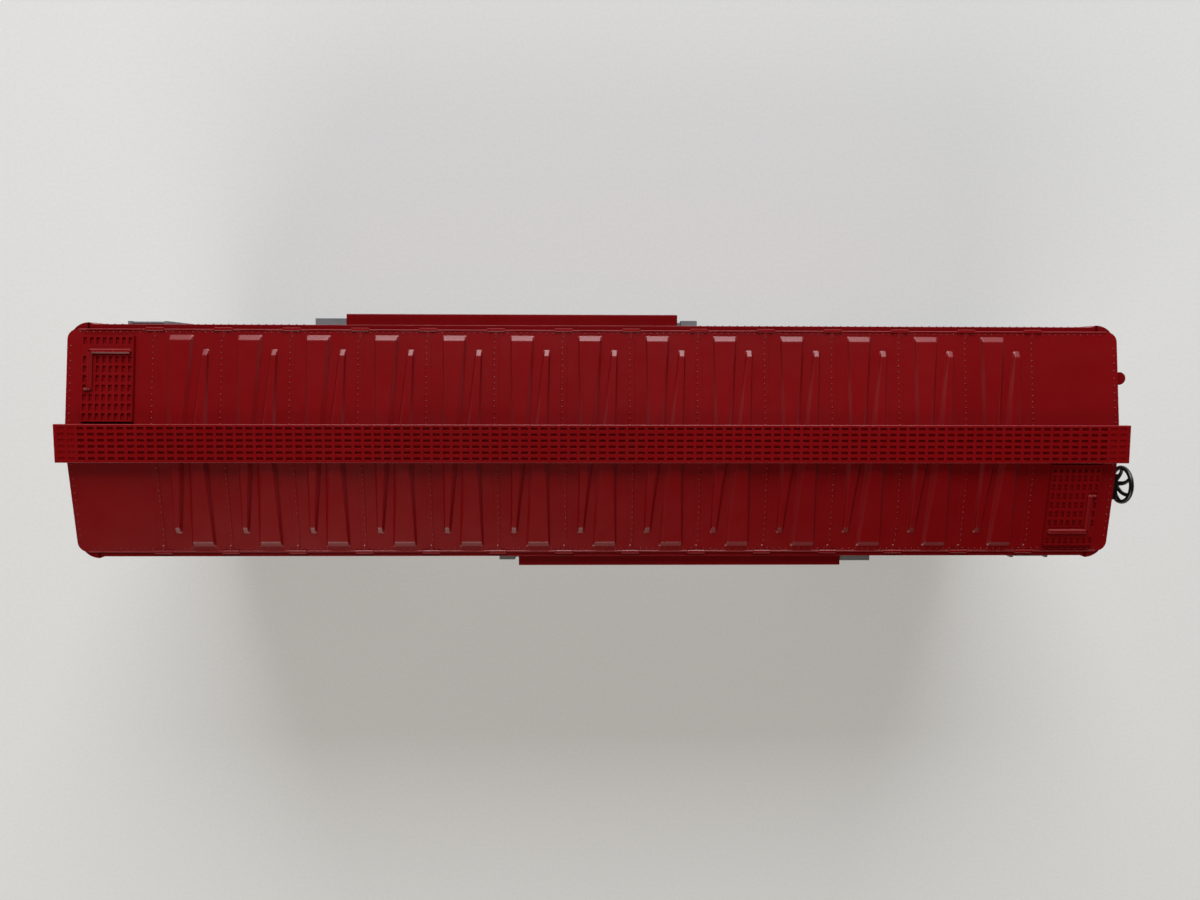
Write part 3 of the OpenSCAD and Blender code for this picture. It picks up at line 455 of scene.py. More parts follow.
def grating(size, thickness, cells, pitch, hole, depth, shallow=0, closed=(), chamfer=0.12 * MM):
    """A plate with its top at z = 0 and its middle at the origin, with cells[0] by cells[1] wells. The first and last
    few columns, shallow of them, are only half as deep. closed lists (column, row) cells without a well."""
    cx, cy = np.meshgrid(np.arange(cells[0]), np.arange(cells[1]), indexing="ij")
    places = np.stack([(cx - (cells[0] - 1) / 2) * pitch[0], (cy - (cells[1] - 1) / 2) * pitch[1],
                       0 * cx], -1).reshape(-1, 3)
    column, row = cx.ravel(), cy.ravel()
    plain = np.array([(c, r) in closed for c, r in zip(column, row)])
    near_end = np.minimum(column, cells[0] - 1 - column) < shallow
    lid = (well(pitch, hole, depth)[0][:4], [np.array([[0, 1, 2, 3]])])
    patches = [repeated(well(pitch, hole, depth), places[~near_end & ~plain])]
    if shallow:
        patches.append(repeated(well(pitch, hole, 0.4 * depth), places[near_end & ~plain]))
    if plain.any():
        patches.append(repeated(lid, places[plain]))
    inner = np.array([cells[0] * pitch[0], cells[1] * pitch[1]]) / 2
    outer = np.array(size) / 2
    corner = np.array([[-1, -1], [1, -1], [1, 1], [-1, 1]])
    outlines = [(inner, 0), (np.maximum(inner, outer - chamfer), 0), (outer, -chamfer), (outer, -thickness)]
    rings = np.concatenate([np.column_stack([corner * half, np.full(4, z)]) for half, z in outlines])
    patches.append((rings, [grid_faces(4, 4, wrap_cols=True), np.array([[12, 15, 14, 13]])]))
    return joined(patches)


board_size = board_high - board_low
running = grating(board_size[:2], board_size[2], (110, 6), (2.44 * MM, 1.51 * MM), (1.6 * MM, 0.72 * MM),
                  0.34 * MM, shallow=2)
running = (running[0] + [0, 0, board_high[2]], running[1])
piece("running_board_grating", running, "car", "body_red", replaces=["running_board"], sharp=30)
print("running board:", (1000 * board_size).round(1), "mm")

# %% [markdown]
# The corner platforms lie on the slope, and each carries a raised grab iron moulded as a thick L with a short foot.
# It could be a bent wire like the grab irons below, but here it is part of the moulding, so it is three low bars, and
# the openings under it are left closed, as a moulding tool would leave them.

# %% Corner platforms
plat_low, plat_high = box_of("lateral_board_a")
plat_x0, plat_x1 = plat_low[0], plat_high[0]
plat_in, plat_out = board_high[1] + 0.4 * MM, slope_len - 1.8 * MM
plat_t, grab_w, grab_h = 0.9 * MM, 1.2 * MM, 0.8 * MM
plat_cells = (8, 9)
plat_pitch = (1.6 * MM, (plat_out - plat_in - 0.2 * MM) / plat_cells[1])
closed = [(c, 7) for c in range(plat_cells[0])] + [(1, r) for r in range(3, 8)]
for side, name in ((1, "a"), (-1, "b")):
    turn = slope_turn(side)
    flat = grating((plat_x1 - plat_x0, plat_out - plat_in), plat_t - 0.05 * MM, plat_cells, plat_pitch,
                   (0.8 * MM, 1.65 * MM), 0.4 * MM, closed=closed, chamfer=0.45 * MM)
    middle = on_slope((plat_x0 + plat_x1) / 2, (plat_in + plat_out) / 2, plat_t, side)
    plate = (flat[0] @ turn.T + middle, flat[1])
    arm_s, leg_x = plat_out - 3.4 * MM - grab_w / 2, plat_x0 + 1.8 * MM + grab_w / 2
    foot_s = arm_s - 9.8 * MM
    lines = [((leg_x - grab_w / 2, arm_s), (plat_x1 - 0.5 * MM, arm_s), grab_w),
             ((leg_x, arm_s + grab_w / 2), (leg_x, foot_s), grab_w),
             ((leg_x - 1.7 * MM, foot_s + 0.3 * MM), (leg_x, foot_s + 0.3 * MM), 0.6 * MM)]
    grab = [bar(on_slope(*start, plat_t + 0.3 * MM, side), on_slope(*end, plat_t + 0.3 * MM, side), width,
                grab_h + 0.2 * MM, 0.35 * MM, up=turn[:, 2]) for start, end, width in lines]
    piece(f"corner_platform_{name}", joined([plate, *grab]), "car", "body_red",
          replaces=[f"lateral_board_{name}"], sharp=30)
print("faces:", faces_made)

# %% [markdown]
# ## Softening what the frame already gives
#
# Hoods, rails, ladders, truck frames and coupler castings have the right shape already, but knife edges that no
# moulding or casting has. They could be built anew, but the shape is there. So each is copied, its loose triangles
# are merged, its flat faces made whole, and a small bevel rounds its edges so that they catch the light.

# %% Softened copies
def softened(width, *nodes):
    """Finished copies of CAD nodes with edges rounded by width. Each keeps its node's place, body and slot."""
    for node in nodes:
        copy = bmesh.new()
        copy.from_mesh(frame["nodes"][node].data)
        bmesh.ops.remove_doubles(copy, verts=copy.verts, dist=1e-6)
        bmesh.ops.dissolve_limit(copy, angle_limit=np.radians(1), verts=copy.verts, edges=copy.edges)
        mesh = bpy.data.meshes.new(f"{node}_finished")
        copy.to_mesh(mesh)
        copy.free()
        finished(f"{node}_finished", mesh, body_of[node], slot_of[node], replaces=[node], bevel=width)


moulded_edge, thin_edge, cast_edge, turned_edge = 0.15 * MM, 0.1 * MM, 0.25 * MM, 0.12 * MM
softened(moulded_edge, "door_hood_left", "door_hood_right", "brake_housing", "retainer_valve", "coupler_box_a",
         "coupler_box_b", "coupler_lids", "brake_cylinder", "air_reservoir", "control_valve")
softened(thin_edge, "side_left", "side_right", "door_rail_left", "door_rail_right", "door_track_left",
         "door_track_right", "side_ladder_left", "side_ladder_right", "end_ladder_a", "end_ladder_b",
         "stirrup_steps", "crossbearers", "body_bolsters", "centre_sill")
softened(cast_edge, "truck_sides_a", "truck_sides_b", "truck_bolster_a", "truck_bolster_b", "coupler_a",
         "coupler_b", "knuckle_a", "knuckle_b")
softened(turned_edge, "truck_screws", "body_screws", "coupler_screws", "weight_plate", "brake_rod")
print("softened copies:", sum(name.endswith("_finished") for name in faces_made))

# %% [markdown]
# ## Paths, tubes and turned shapes
#
# Wire parts are circles carried along a path, and wheels and axles are profiles turned about a line. Blender's curve
# bevel and Screw modifier could make them, but as whole arrays of rings they join with other patches. A corner in a
# path or a profile is first replaced by a short curve.

# %% Tubes and turnings
def rounded(points, radius, steps=5):
    """An open polyline whose inner corners are curves: (1-t)^2 a + 2t(1-t) corner + t^2 b, where a and b lie at
    radius from the corner along its two sides."""
    p = np.asarray(points, float)
    before, after = p[:-2] - p[1:-1], p[2:] - p[1:-1]
    a = p[1:-1] + before * np.minimum(0.49, radius / np.linalg.norm(before, axis=1, keepdims=True))
    b = p[1:-1] + after * np.minimum(0.49, radius / np.linalg.norm(after, axis=1, keepdims=True))
    t = np.linspace(0, 1, steps)[None, :, None]
    curve = (1 - t) ** 2 * a[:, None] + 2 * t * (1 - t) * p[1:-1, None] + t ** 2 * b[:, None]
    return np.concatenate([p[:1], curve.reshape(-1, p.shape[1]), p[-1:]])


def tube(path, radius, up, around=8, flat=1):
    """A bar along a path: at each point a ring of points square to the path, radius times cos and sin of the turn.
    up is kept square to the path, and flat scales the ring that way."""
    path = np.asarray(path, float)
    ahead = np.gradient(path, axis=0)
    ahead /= np.linalg.norm(ahead, axis=1, keepdims=True)
    side = np.cross(ahead, up)
    side /= np.linalg.norm(side, axis=1, keepdims=True)
    rise = np.cross(side, ahead)
    turn = np.linspace(0, 2 * np.pi, around, endpoint=False)[None, :, None]
    r = np.broadcast_to(radius, len(path))[:, None, None]
    return loft(path[:, None] + r * (np.cos(turn) * side[:, None] + flat * np.sin(turn) * rise[:, None]))


def lathe(profile, centre, axis, around=48, closed=False):
    """A profile of (distance along the axis, radius) pairs, turned about the axis through centre. A closed profile
    makes a ring, an open one a solid with lids."""
    profile = np.asarray(profile, float)
    axis = np.asarray(axis, float)
    side = np.cross(axis, [0.3, 0.5, 0.81])
    side /= np.linalg.norm(side)
    rise = np.cross(axis, side)
    turn = np.linspace(0, 2 * np.pi, around, endpoint=False)[None, :, None]
    rings = np.asarray(centre) + profile[:, 0, None, None] * axis + profile[:, 1, None, None] * (
        np.cos(turn) * side + np.sin(turn) * rise)
    if not closed:
        return loft(rings)
    return rings.reshape(-1, 3), [grid_faces(len(profile), around, wrap_rows=True, wrap_cols=True)]


print("points on a corner rounded in 5 steps:", len(rounded([(0, 0), (1, 0), (1, 1)], 0.2)) - 2)

# %% [markdown]
# Some CAD nodes hold several separate solids, such as all the grab irons. Their places could be typed in, but the
# frame knows them: points that are joined by edges belong to one solid.

# %% The solids of a node
def solids(node):
    """The boxes of a CAD node's separate solids. Every point takes the lowest label along its edges until none
    changes, so the points of one solid end with one label."""
    copy = bmesh.new()
    copy.from_mesh(frame["nodes"][node].data)
    bmesh.ops.remove_doubles(copy, verts=copy.verts, dist=1e-6)
    mesh = bpy.data.meshes.new("measured")
    copy.to_mesh(mesh)
    copy.free()
    co = np.empty(3 * len(mesh.vertices), np.float32)
    mesh.vertices.foreach_get("co", co)
    co = co.reshape(-1, 3).astype(float)
    ends = np.empty(2 * len(mesh.edges), np.int32)
    mesh.edges.foreach_get("vertices", ends)
    ends = ends.reshape(-1, 2)
    bpy.data.meshes.remove(mesh)
    label = np.arange(len(co))
    while True:
        low = label[ends].min(axis=1)
        lower = label.copy()
        np.minimum.at(lower, ends[:, 0], low)
        np.minimum.at(lower, ends[:, 1], low)
        if (lower == label).all():
            break
        label = lower
    return [(co[label == k].min(0), co[label == k].max(0)) for k in np.unique(label)]


print("solids in the grab irons:", len(solids("grab_irons")))

# %% [markdown]
# ## Grab irons
#
# On the real car these are bent wire: two feet in the wall and a straight bar between them. They could be square bars
# with a bevel, but bent wire is round. The frame gives a box for each, and in that box a path goes out, round the
# bend, along and back in.

# %% Grab irons
wire_r = 0.3 * MM
grabs = []
for low, high in solids("grab_irons"):
    middle, size = (low + high) / 2, high - low
    along = np.array([1, 0, 0]) if size[0] > size[1] else np.array([0, 1, 0])
    out = np.array([0, np.sign(middle[1]), 0]) if along[0] else np.array([np.sign(middle[0]), 0, 0])
    reach, depth = abs(size @ along) / 2 - 2 * wire_r, abs(size @ np.abs(out))
    wall = middle - out * depth / 2
    bar_out = wall + out * (depth - wire_r)
    path = [wall - along * reach, bar_out - along * reach, bar_out + along * reach, wall + along * reach]
    grabs.append(tube(rounded(path, 0.8 * MM), wire_r, up=(0, 0, 1)))
    grabs += [lathe([(0, 2.2 * wire_r), (0.15 * MM, 2.2 * wire_r), (0.25 * MM, 1.2 * wire_r)], wall + s * along * reach,
                    out, around=10) for s in (-1, 1)]
piece("grab_irons_wire", joined(grabs), "car", "fittings_grey", replaces=["grab_irons"])
print("grab irons:", len(grabs) // 3)

# %% [markdown]
# ## The ends
#
# An end is one moulding that wraps round both corners, with eight pressed ribs that keep a shifting load from bulging
# it. The ribs could be separate bars laid on a box, but a pressing flows from one into the next. So it is a surface of
# two parameters: u runs along the outline in plan, from one side sheet round to the other, and z runs up. The outline
# gives a point and a normal, and the ribs push the surface out along that normal. The same grid, moved in by the
# wall's thickness and kept in line with the side sheets, makes its inside.

# %% Pressed ends
wall_t = 1.6 * MM
body_end = half_len - 0.6 * MM
wrap_x = side_high[0]
corner_x, corner_y, corner_out = 4.6 * MM, 3.6 * MM, 0.45 * MM
rib_count, rib_r, rib_out = 8, 2 * MM, 1.3 * MM
rib_half, rib_taper = 15 * MM, 9 * MM
swell_len = 1.6 * MM
deck_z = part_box("floor")[1].z
rib_pitch = (end_high[2] - deck_z - 8 * MM) / rib_count
rib_z = deck_z + 6 * MM + np.arange(rib_count) * rib_pitch


def end_outline(u_side, u_corner, u_face):
    """The outline in plan from the left side sheet to the right one, as points and outward normals: a straight run
    that swells out along the side, a quarter of an ellipse round the corner, the flat face, and the same mirrored."""
    y = half_w + corner_out * swell((u_side - wrap_x) / swell_len)
    flat_side = np.stack([u_side, y], 1)
    side_n = np.tile([0.0, 1.0], (len(u_side), 1))
    reach = np.array([corner_x, corner_y + corner_out])
    unit = np.stack([np.sin(u_corner), np.cos(u_corner)], 1)
    round_part = np.array([body_end, half_w + corner_out]) - reach + reach * unit
    corner_n = unit / reach
    corner_n /= np.linalg.norm(corner_n, axis=1, keepdims=True)
    flat_face = np.stack([np.full_like(u_face, body_end), u_face], 1)
    face_n = np.tile([1.0, 0.0], (len(u_face), 1))
    half_p = np.concatenate([flat_side, round_part])
    half_n = np.concatenate([side_n, corner_n])
    mirror = np.array([1, -1])
    return (np.concatenate([half_p, flat_face, half_p[::-1] * mirror]),
            np.concatenate([half_n, face_n, half_n[::-1] * mirror]))


def end_relief(y, z, normal):
    """How far the face stands out: for each rib the arc of a circle whose radius falls from rib_r to nothing over the
    taper at each tip."""
    fall = np.clip((np.abs(y) - rib_half) / rib_taper, 0, 1)
    radius = rib_r - rib_out * fall
    dz = np.min(np.abs(z[:, None] - rib_z[None, :]), axis=1)
    arc = np.sqrt(np.maximum(radius[None, :] ** 2 - dz[:, None] ** 2, 0)) - (rib_r - rib_out)
    return np.where(normal[None, :, 0] > 0.99, np.maximum(arc, 0), 0)


print("pressed ribs at", (1000 * rib_z).round(1), "mm")

# %% [markdown]
# The two formulas are now filled in on one grid. Its lines could be spaced evenly, but flat parts need few and the
# feet of the ribs need many, so they are set close where the surface bends.

# %% End surface
u_side = np.concatenate([wrap_x + np.linspace(0, 1, 7) * swell_len, [body_end - corner_x - 0.1 * MM]])
u_corner = np.linspace(0, np.pi / 2, 11)
u_face = half_w - corner_y - np.concatenate([[0.2, 0.8], np.linspace(2, 11.2, 12), [18, 24]]) * MM
u_face = np.concatenate([u_face, -u_face[::-1]])
outline, normal = end_outline(u_side, u_corner, u_face)
steps_z = np.array([-2.6, -2.0, -1.88, -1.7, -1.3, -0.7, 0, 0.7, 1.3, 1.7, 1.88, 2.0, 2.6]) * MM
edge_rows = [end_low[2], end_low[2] + 0.1 * MM, end_high[2] - 0.1 * MM, end_high[2]]
z_rows = np.sort(np.concatenate([(rib_z[:, None] + steps_z).ravel(), edge_rows]))
relief = end_relief(outline[:, 1], z_rows, normal)
pressed = outline[None] + relief[..., None] * normal[None]
inner = outline - wall_t * normal
inner[:, 1] = np.clip(inner[:, 1], wall_t - half_w, half_w - wall_t)
inner = np.broadcast_to(inner, pressed.shape)
z_grid = np.broadcast_to(z_rows[:, None, None], pressed.shape[:2] + (1,))
end_shell = thick(np.concatenate([pressed, z_grid], -1), np.concatenate([inner, z_grid], -1))
print("end surface:", pressed.shape[:2], "points, reaching", round(1000 * pressed[..., 0].max(), 2), "mm")

# %% [markdown]
# Rivets run up both corners of the end and along its top, and the floor screws turn into two posts inside. The rivets
# could be part of the surface, but as domes that stand on it they keep their shape at any grid. The second end is
# the first one turned half a turn, not mirrored, so nothing comes out inside out.

# %% Rivets of the ends
out_x = np.array([[0, 0, 1], [0, 1, 0], [-1, 0, 0]], float)  # turns a rivet that stands up to point along X
rivet_z = np.arange(end_low[2] + 2 * MM, end_high[2] - 1.5 * MM, rivet_pitch)
row_y = half_w - corner_y - 0.7 * MM
face_rows = np.stack([np.full_like(rivet_z, body_end), np.full_like(rivet_z, row_y), rivet_z], 1)
top_y = np.arange(-half_w + 4.2 * MM, half_w - 4 * MM, rivet_pitch)
top_row = np.stack([np.full_like(top_y, body_end), top_y, np.full_like(top_y, end_high[2] - 1.1 * MM)], 1)
end_rivets = repeated(rivet, np.concatenate([face_rows, face_rows * [1, -1, 1], top_row]), out_x)
post_r, post_h = 2.2 * MM, 16 * MM
posts = []
for s in (-1, 1):
    post_foot = (body_end - wall_t - 1.9 * MM, s * (half_w - wall_t - 8 * MM), deck_z)
    posts.append(lathe(rounded([(0, 0.95 * MM), (0, post_r), (post_h, post_r), (post_h, 0.3 * MM)], 0.3 * MM),
                       post_foot, (0, 0, 1), around=20))
half_turn = np.diag([-1.0, -1.0, 1.0])
for name, turn in (("b", np.eye(3)), ("a", half_turn)):
    pts, face_sets = joined([end_shell, *posts])
    piece(f"end_{name}_moulding", (pts @ turn.T, face_sets), "car", "body_red", replaces=[f"end_{name}"], sharp=32)
    pts, face_sets = end_rivets
    piece(f"end_{name}_rivets", (pts @ turn.T, face_sets), "car", "body_red")
print("rivets on an end:", len(end_rivets[0]) // len(rivet[0]))

# %% [markdown]
# ## Side rivets
#
# The side sheets overlap at raised seams, riveted in pairs of rows, with more rows along the sill and under the eave.
# An array modifier could set out each row, but the places are easily worked out at once. The seam strips are part of
# the frame, so the rows take their places from the same spacing.

# %% Rivets of the sides
out_y = np.array([[1, 0, 0], [0, 0, 1], [0, -1, 0]], float)  # turns a rivet that stands up to point along Y
door_low, door_high = box_of("door_left")
hood_low, hood_high = box_of("door_hood_left")
doorway_half = door_high[0] - 1.45 * MM
post_x = doorway_half + 2 * MM
panel_w = (side_high[0] - post_x) / 5
strip_top = hood_low[2] - 0.4 * MM
rows_z = np.arange(deck_z + 2 * MM, strip_top - 1 * MM, rivet_pitch)
strip_x = (post_x + panel_w * np.arange(1, 5))[:, None] + np.array([-0.45, 0.45])[None, :] * MM
strip_x = np.concatenate([strip_x.ravel(), [post_x - 1 * MM]])
strip_x = np.concatenate([strip_x, -strip_x])
gx, gz = np.meshgrid(strip_x, rows_z, indexing="ij")
on_strips = np.stack([gx.ravel(), np.full(gx.size, half_w + side_strip), gz.ravel()], 1)
row_x = np.arange(-side_high[0] + 1 * MM, side_high[0], rivet_pitch)
sill_row = np.stack([row_x, np.full_like(row_x, half_w), np.full_like(row_x, side_low[2] + 1 * MM)], 1)
eave_row = np.stack([row_x, np.full_like(row_x, half_w), np.full_like(row_x, side_high[2] - 0.7 * MM)], 1)
clear = (row_x > hood_high[0] + 5 * MM) | (row_x < hood_low[0] - 9 * MM)
# The open door slides over some of the strips, so the rivets there are as flat as the gap behind the door allows.
door_travel = 40 * MM
passed = (on_strips[:, 0] > door_low[0] - door_travel - 1 * MM) & (on_strips[:, 0] < door_high[0] + 1 * MM)
gap_behind = door_low[1] - (half_w + side_strip)
sheet_rivet = dome(0.25 * MM, 0.17 * MM)
side_rivets = joined([
    repeated(sheet_rivet, np.concatenate([on_strips[~passed], sill_row, eave_row[clear]]), out_y),
    repeated(dome(0.25 * MM, 0.6 * gap_behind), on_strips[passed], out_y)])
print("behind the door:", round(1000 * gap_behind, 3), "mm")
for name, turn in (("left", np.eye(3)), ("right", half_turn)):
    piece(f"side_{name}_rivets", (side_rivets[0] @ turn.T, side_rivets[1]), "car", "body_red")
print("rivets on a side:", len(side_rivets[0]) // len(rivet[0]))

# %% [markdown]
# ## Corrugated doors
#
# A sliding door is a pressed sheet with rows of rounded corrugations in three panels between upright edge members.
# The rows could be half-round bars on a plate, but they are one pressing. So the sheet is a height over x and z: each
# row is a smooth bump across z that ends round, and the seams between the panels are left flat for their rivets.

# %% Doors
door_t, door_relief = 0.8 * MM, 0.5 * MM
sheet_y = door_low[1]
door_half = door_high[0]
door_top = hood_low[2] + 1.2 * MM
rows = 11
row_pitch = (door_top - door_low[2] - 3 * MM) / rows
row_z = door_low[2] + 1.5 * MM + (np.arange(rows) + 0.5) * row_pitch
flat_rows = np.array([3, 7])


def door_relief_at(x, z):
    """Height of the sheet: cos squared across each corrugation, times a crown that falls to 0 at its two ends,
    with raised upright members along both edges."""
    near = np.abs(z[:, None] - row_z[None, :])
    row = near.argmin(axis=1)
    across_row = np.cos(np.clip(near.min(axis=1) / (0.46 * row_pitch), 0, 1) * np.pi / 2) ** 2
    across_row = np.minimum(1, 1.5 * across_row)
    across_row = np.where(np.isin(row, flat_rows), 0, across_row)
    ends = crown(door_half - 3 * MM - np.abs(x), 1.6 * MM)
    member = crown(1 * MM - np.abs(np.abs(x) - (door_half - 1 * MM)), 0.3 * MM)
    return door_relief * np.maximum(across_row[:, None] * ends[None, :], member[None, :])


# Columns are closest where the edge member and the round ends of the corrugations curve most.
from_edge = np.array([0, 0.05, 0.15, 0.3, 1, 1.7, 1.85, 1.95, 2, 2.9, 3, 3.1, 3.35, 3.8, 4.3, 4.7, 8, 14]) * MM
half_x = door_half - from_edge
door_x = np.concatenate([-half_x, half_x[::-1]])
door_z = np.concatenate([[door_low[2]], np.linspace(door_low[2] + 0.1 * MM, door_top - 0.1 * MM, 155), [door_top]])
height = door_relief_at(door_x, door_z)
dx, dz = np.meshgrid(door_x, door_z)
front = np.stack([dx, sheet_y + door_t + height, dz], -1)
back = np.stack([dx, sheet_y + 0.7 * height, dz], -1)
door_parts = [thick(front, back)]
print("door:", front.shape[:2], "points over", round(2000 * door_half, 1), "by",
      round(1000 * (door_top - door_low[2]), 1), "mm")

# %% [markdown]
# A door hangs from its rail by two hangers, each a leg on the sheet and an arm that reaches back over the rail. The
# latch is a plate with a handle bent from round bar. They could be pieces of their own, but they never move on the
# door, so they are joined with it.

# %% Hangers, latch and rivets of the doors
rail_top = door_high[2]
hang_x, hang_w, hang_t = 14 * MM, 4 * MM, 0.6 * MM
arm_z = rail_top - 0.2 * MM
for s in (-1, 1):
    leg = (s * hang_x, sheet_y + door_t + 0.2 * MM)
    door_parts.append(bar((*leg, door_top - 3 * MM), (*leg, rail_top), hang_w, hang_t, 0.12 * MM, up=(0, 1, 0)))
    door_parts.append(bar((s * hang_x, half_w + 0.35 * MM, arm_z), (s * hang_x, sheet_y + door_t + 0.5 * MM, arm_z),
                          hang_w, 0.4 * MM, 0.1 * MM))
latch_x, latch_z, latch_h = door_half - 2 * MM, door_low[2] + 20 * MM, 5 * MM
face_y = sheet_y + door_t + door_relief
plate_y, handle_y, pivot_z = face_y + 0.2 * MM, face_y + 0.75 * MM, latch_z + 3.4 * MM
door_parts.append(bar((latch_x, plate_y, latch_z), (latch_x, plate_y, latch_z + latch_h), 2.8 * MM, 0.6 * MM,
                      0.12 * MM, up=(0, 1, 0)))
handle = rounded([(latch_x, face_y, pivot_z), (latch_x, handle_y, pivot_z), (latch_x, handle_y, latch_z - 6 * MM)],
                 0.3 * MM)
door_parts.append(tube(handle, 0.34 * MM, up=(1, 0, 0)))
seam_x = np.arange(-door_half + 4.5 * MM, door_half - 4 * MM, rivet_pitch)
edge_z = np.arange(door_low[2] + 2 * MM, door_top - 1 * MM, rivet_pitch)
seam_places = [np.stack([seam_x, np.full_like(seam_x, sheet_y + door_t), np.full_like(seam_x, z)], 1)
               for z in row_z[flat_rows]]
edge_places = [np.stack([np.full_like(edge_z, s * (door_half - 1 * MM)), np.full_like(edge_z, face_y), edge_z], 1)
               for s in (-1, 1)]
door_rivets = repeated(sheet_rivet, np.concatenate(seam_places + edge_places), out_y)
for name, turn in (("left", np.eye(3)), ("right", half_turn)):
    pts, face_sets = joined([*door_parts, door_rivets])
    piece(f"door_{name}_pressing", (pts @ turn.T, face_sets), f"{name}_door", "body_red",
          replaces=[f"door_{name}"], sharp=45)
print("rivets on a door:", len(door_rivets[0]) // len(rivet[0]))

# %% [markdown]
# ## The hand brake wheel
#
# The wheel is a thin round rim with six spokes that lean back to a hub nearer the car. The rim could be Blender's
# torus with straight cylinders for spokes, but cast spokes bend sideways a little so that they don't crack as they
# cool. So each spoke is a flattened bar along a curved path, thicker at the hub.

# %% Hand brake wheel
wheel_low, wheel_high = box_of("brake_wheel")
wheel_mid = (wheel_low + wheel_high) / 2
rim_r = 0.6 * MM
rim_x = wheel_high[0] - 0.4 * MM
arm = (wheel_high[2] - wheel_low[2]) / 2 - rim_r
dish = 1.7 * MM
spokes, spoke_bow = 6, np.radians(14)
turn = np.linspace(0, 2 * np.pi, 13)[:-1]
rim_profile = np.stack([rim_r * np.sin(turn), arm + rim_r * np.cos(turn)], 1)
hub_centre = np.array([rim_x, wheel_mid[1], wheel_mid[2]])
wheel_parts = [lathe(rim_profile, hub_centre, (1, 0, 0), around=72, closed=True)]
shaft_end = wheel_low[0] - rim_x
hub = rounded([(shaft_end, 0.05 * MM), (shaft_end, 0.8 * MM), (-dish - 1.1 * MM, 0.8 * MM),
               (-dish - 0.9 * MM, 1.3 * MM), (-dish + 0.5 * MM, 1.15 * MM), (-dish + 0.75 * MM, 0.6 * MM),
               (-dish + 1.0 * MM, 0.55 * MM), (-dish + 1.0 * MM, 0.05 * MM)], 0.15 * MM, steps=4)
wheel_parts.append(lathe(hub, hub_centre, (1, 0, 0), around=32))
t = np.linspace(0, 1, 15)
for k in range(spokes):
    angle = 2 * np.pi * k / spokes + spoke_bow * np.sin(np.pi * t)
    out = 0.5 * MM + (arm - 0.5 * MM) * t
    lean = -dish * (1 - t ** 1.3)
    path = hub_centre + np.stack([lean, out * np.cos(angle), out * np.sin(angle)], 1)
    wheel_parts.append(tube(path, (0.62 - 0.12 * t) * MM, up=(1, 0, 0), around=8, flat=0.8))
piece("brake_wheel_casting", joined(wheel_parts), "hand_wheel", "brake_black", replaces=["brake_wheel"], sharp=50)
print("hand wheel:", round(2000 * (arm + rim_r), 1), "mm across,", spokes, "spokes")

# %% [markdown]
# The brakeman's step is a small grating on two brackets below the wheel. The frame has it as a plain plate, which
# could be softened like the ladders, but the holes are what make it a step, so the grating function is used again.

# %% Brake step
step_low, step_high = box_of("brake_step")
step_x0 = body_end + 1.4 * MM
step_size = np.array([step_high[0] - step_x0, step_high[1] - step_low[1]])
step_mid = np.array([(step_x0 + step_high[0]) / 2, (step_low[1] + step_high[1]) / 2, step_high[2]])
step_top = grating(step_size, 0.9 * MM, (3, 7), (1.3 * MM, 1.3 * MM), (0.8 * MM, 0.8 * MM), 0.6 * MM,
                   closed=[(0, 3), (0, 2), (0, 4)])
bracket_y = [step_mid[1] + s * 4 * MM for s in (-1, 1)]
brackets = [bar((body_end, y, step_high[2] - 2.2 * MM), (step_x0 + 3.6 * MM, y, step_high[2] - 1.2 * MM), 0.7 * MM,
                0.8 * MM, 0.1 * MM) for y in bracket_y]
feet = [bar((body_end + 0.02 * MM, y, step_high[2] - 1.0 * MM), (step_x0 + 0.4 * MM, y, step_high[2] - 1.0 * MM),
            0.8 * MM, 2.6 * MM, 0.1 * MM) for y in bracket_y]
piece("brake_step_grating", joined([(step_top[0] + step_mid, step_top[1]), *brackets, *feet]), "car",
      "fittings_grey", replaces=["brake_step"], sharp=30)
print("brake step:", (1000 * step_size).round(1), "mm")

# %% [markdown]
# ## Wheels, axles and springs
#
# The wheels are turned metal: a flange, a tread with a slight cone, and a dished plate between rim and hub. They could
# be stacked from cylinders, but one profile turned about the axle gives every curve at once, as on a lathe. The tread
# and the flange are worn bright by the rails, so a point attribute called polish says how bright each ring is, and the
# material reads it.

# %% Wheels and axles
def wheel_profile(tread, flange, bore, width):
    """The section of a wheel as (distance outwards from its back, radius), given in millimetres: up the back of hub,
    plate and rim, round the flange, across the tread, and down the front again."""
    raw = [(0, bore), (0, 2.6), (0.9, 3.3), (1.15, tread - 2.6), (0.35, tread - 1.7), (0, tread - 1.2),
           (0, tread + flange - 0.35), (0.3, tread + flange), (0.65, tread + flange - 0.05), (1.0, tread + 0.15),
           (1.5, tread), (width - 0.25, tread - 0.08), (width, tread - 0.35), (width, tread - 1.5),
           (width - 0.8, tread - 2.1), (width - 1.5, tread - 4), (width - 1.1, 3.3), (width, 2.5), (width, bore)]
    return rounded(raw, 0.35) * MM


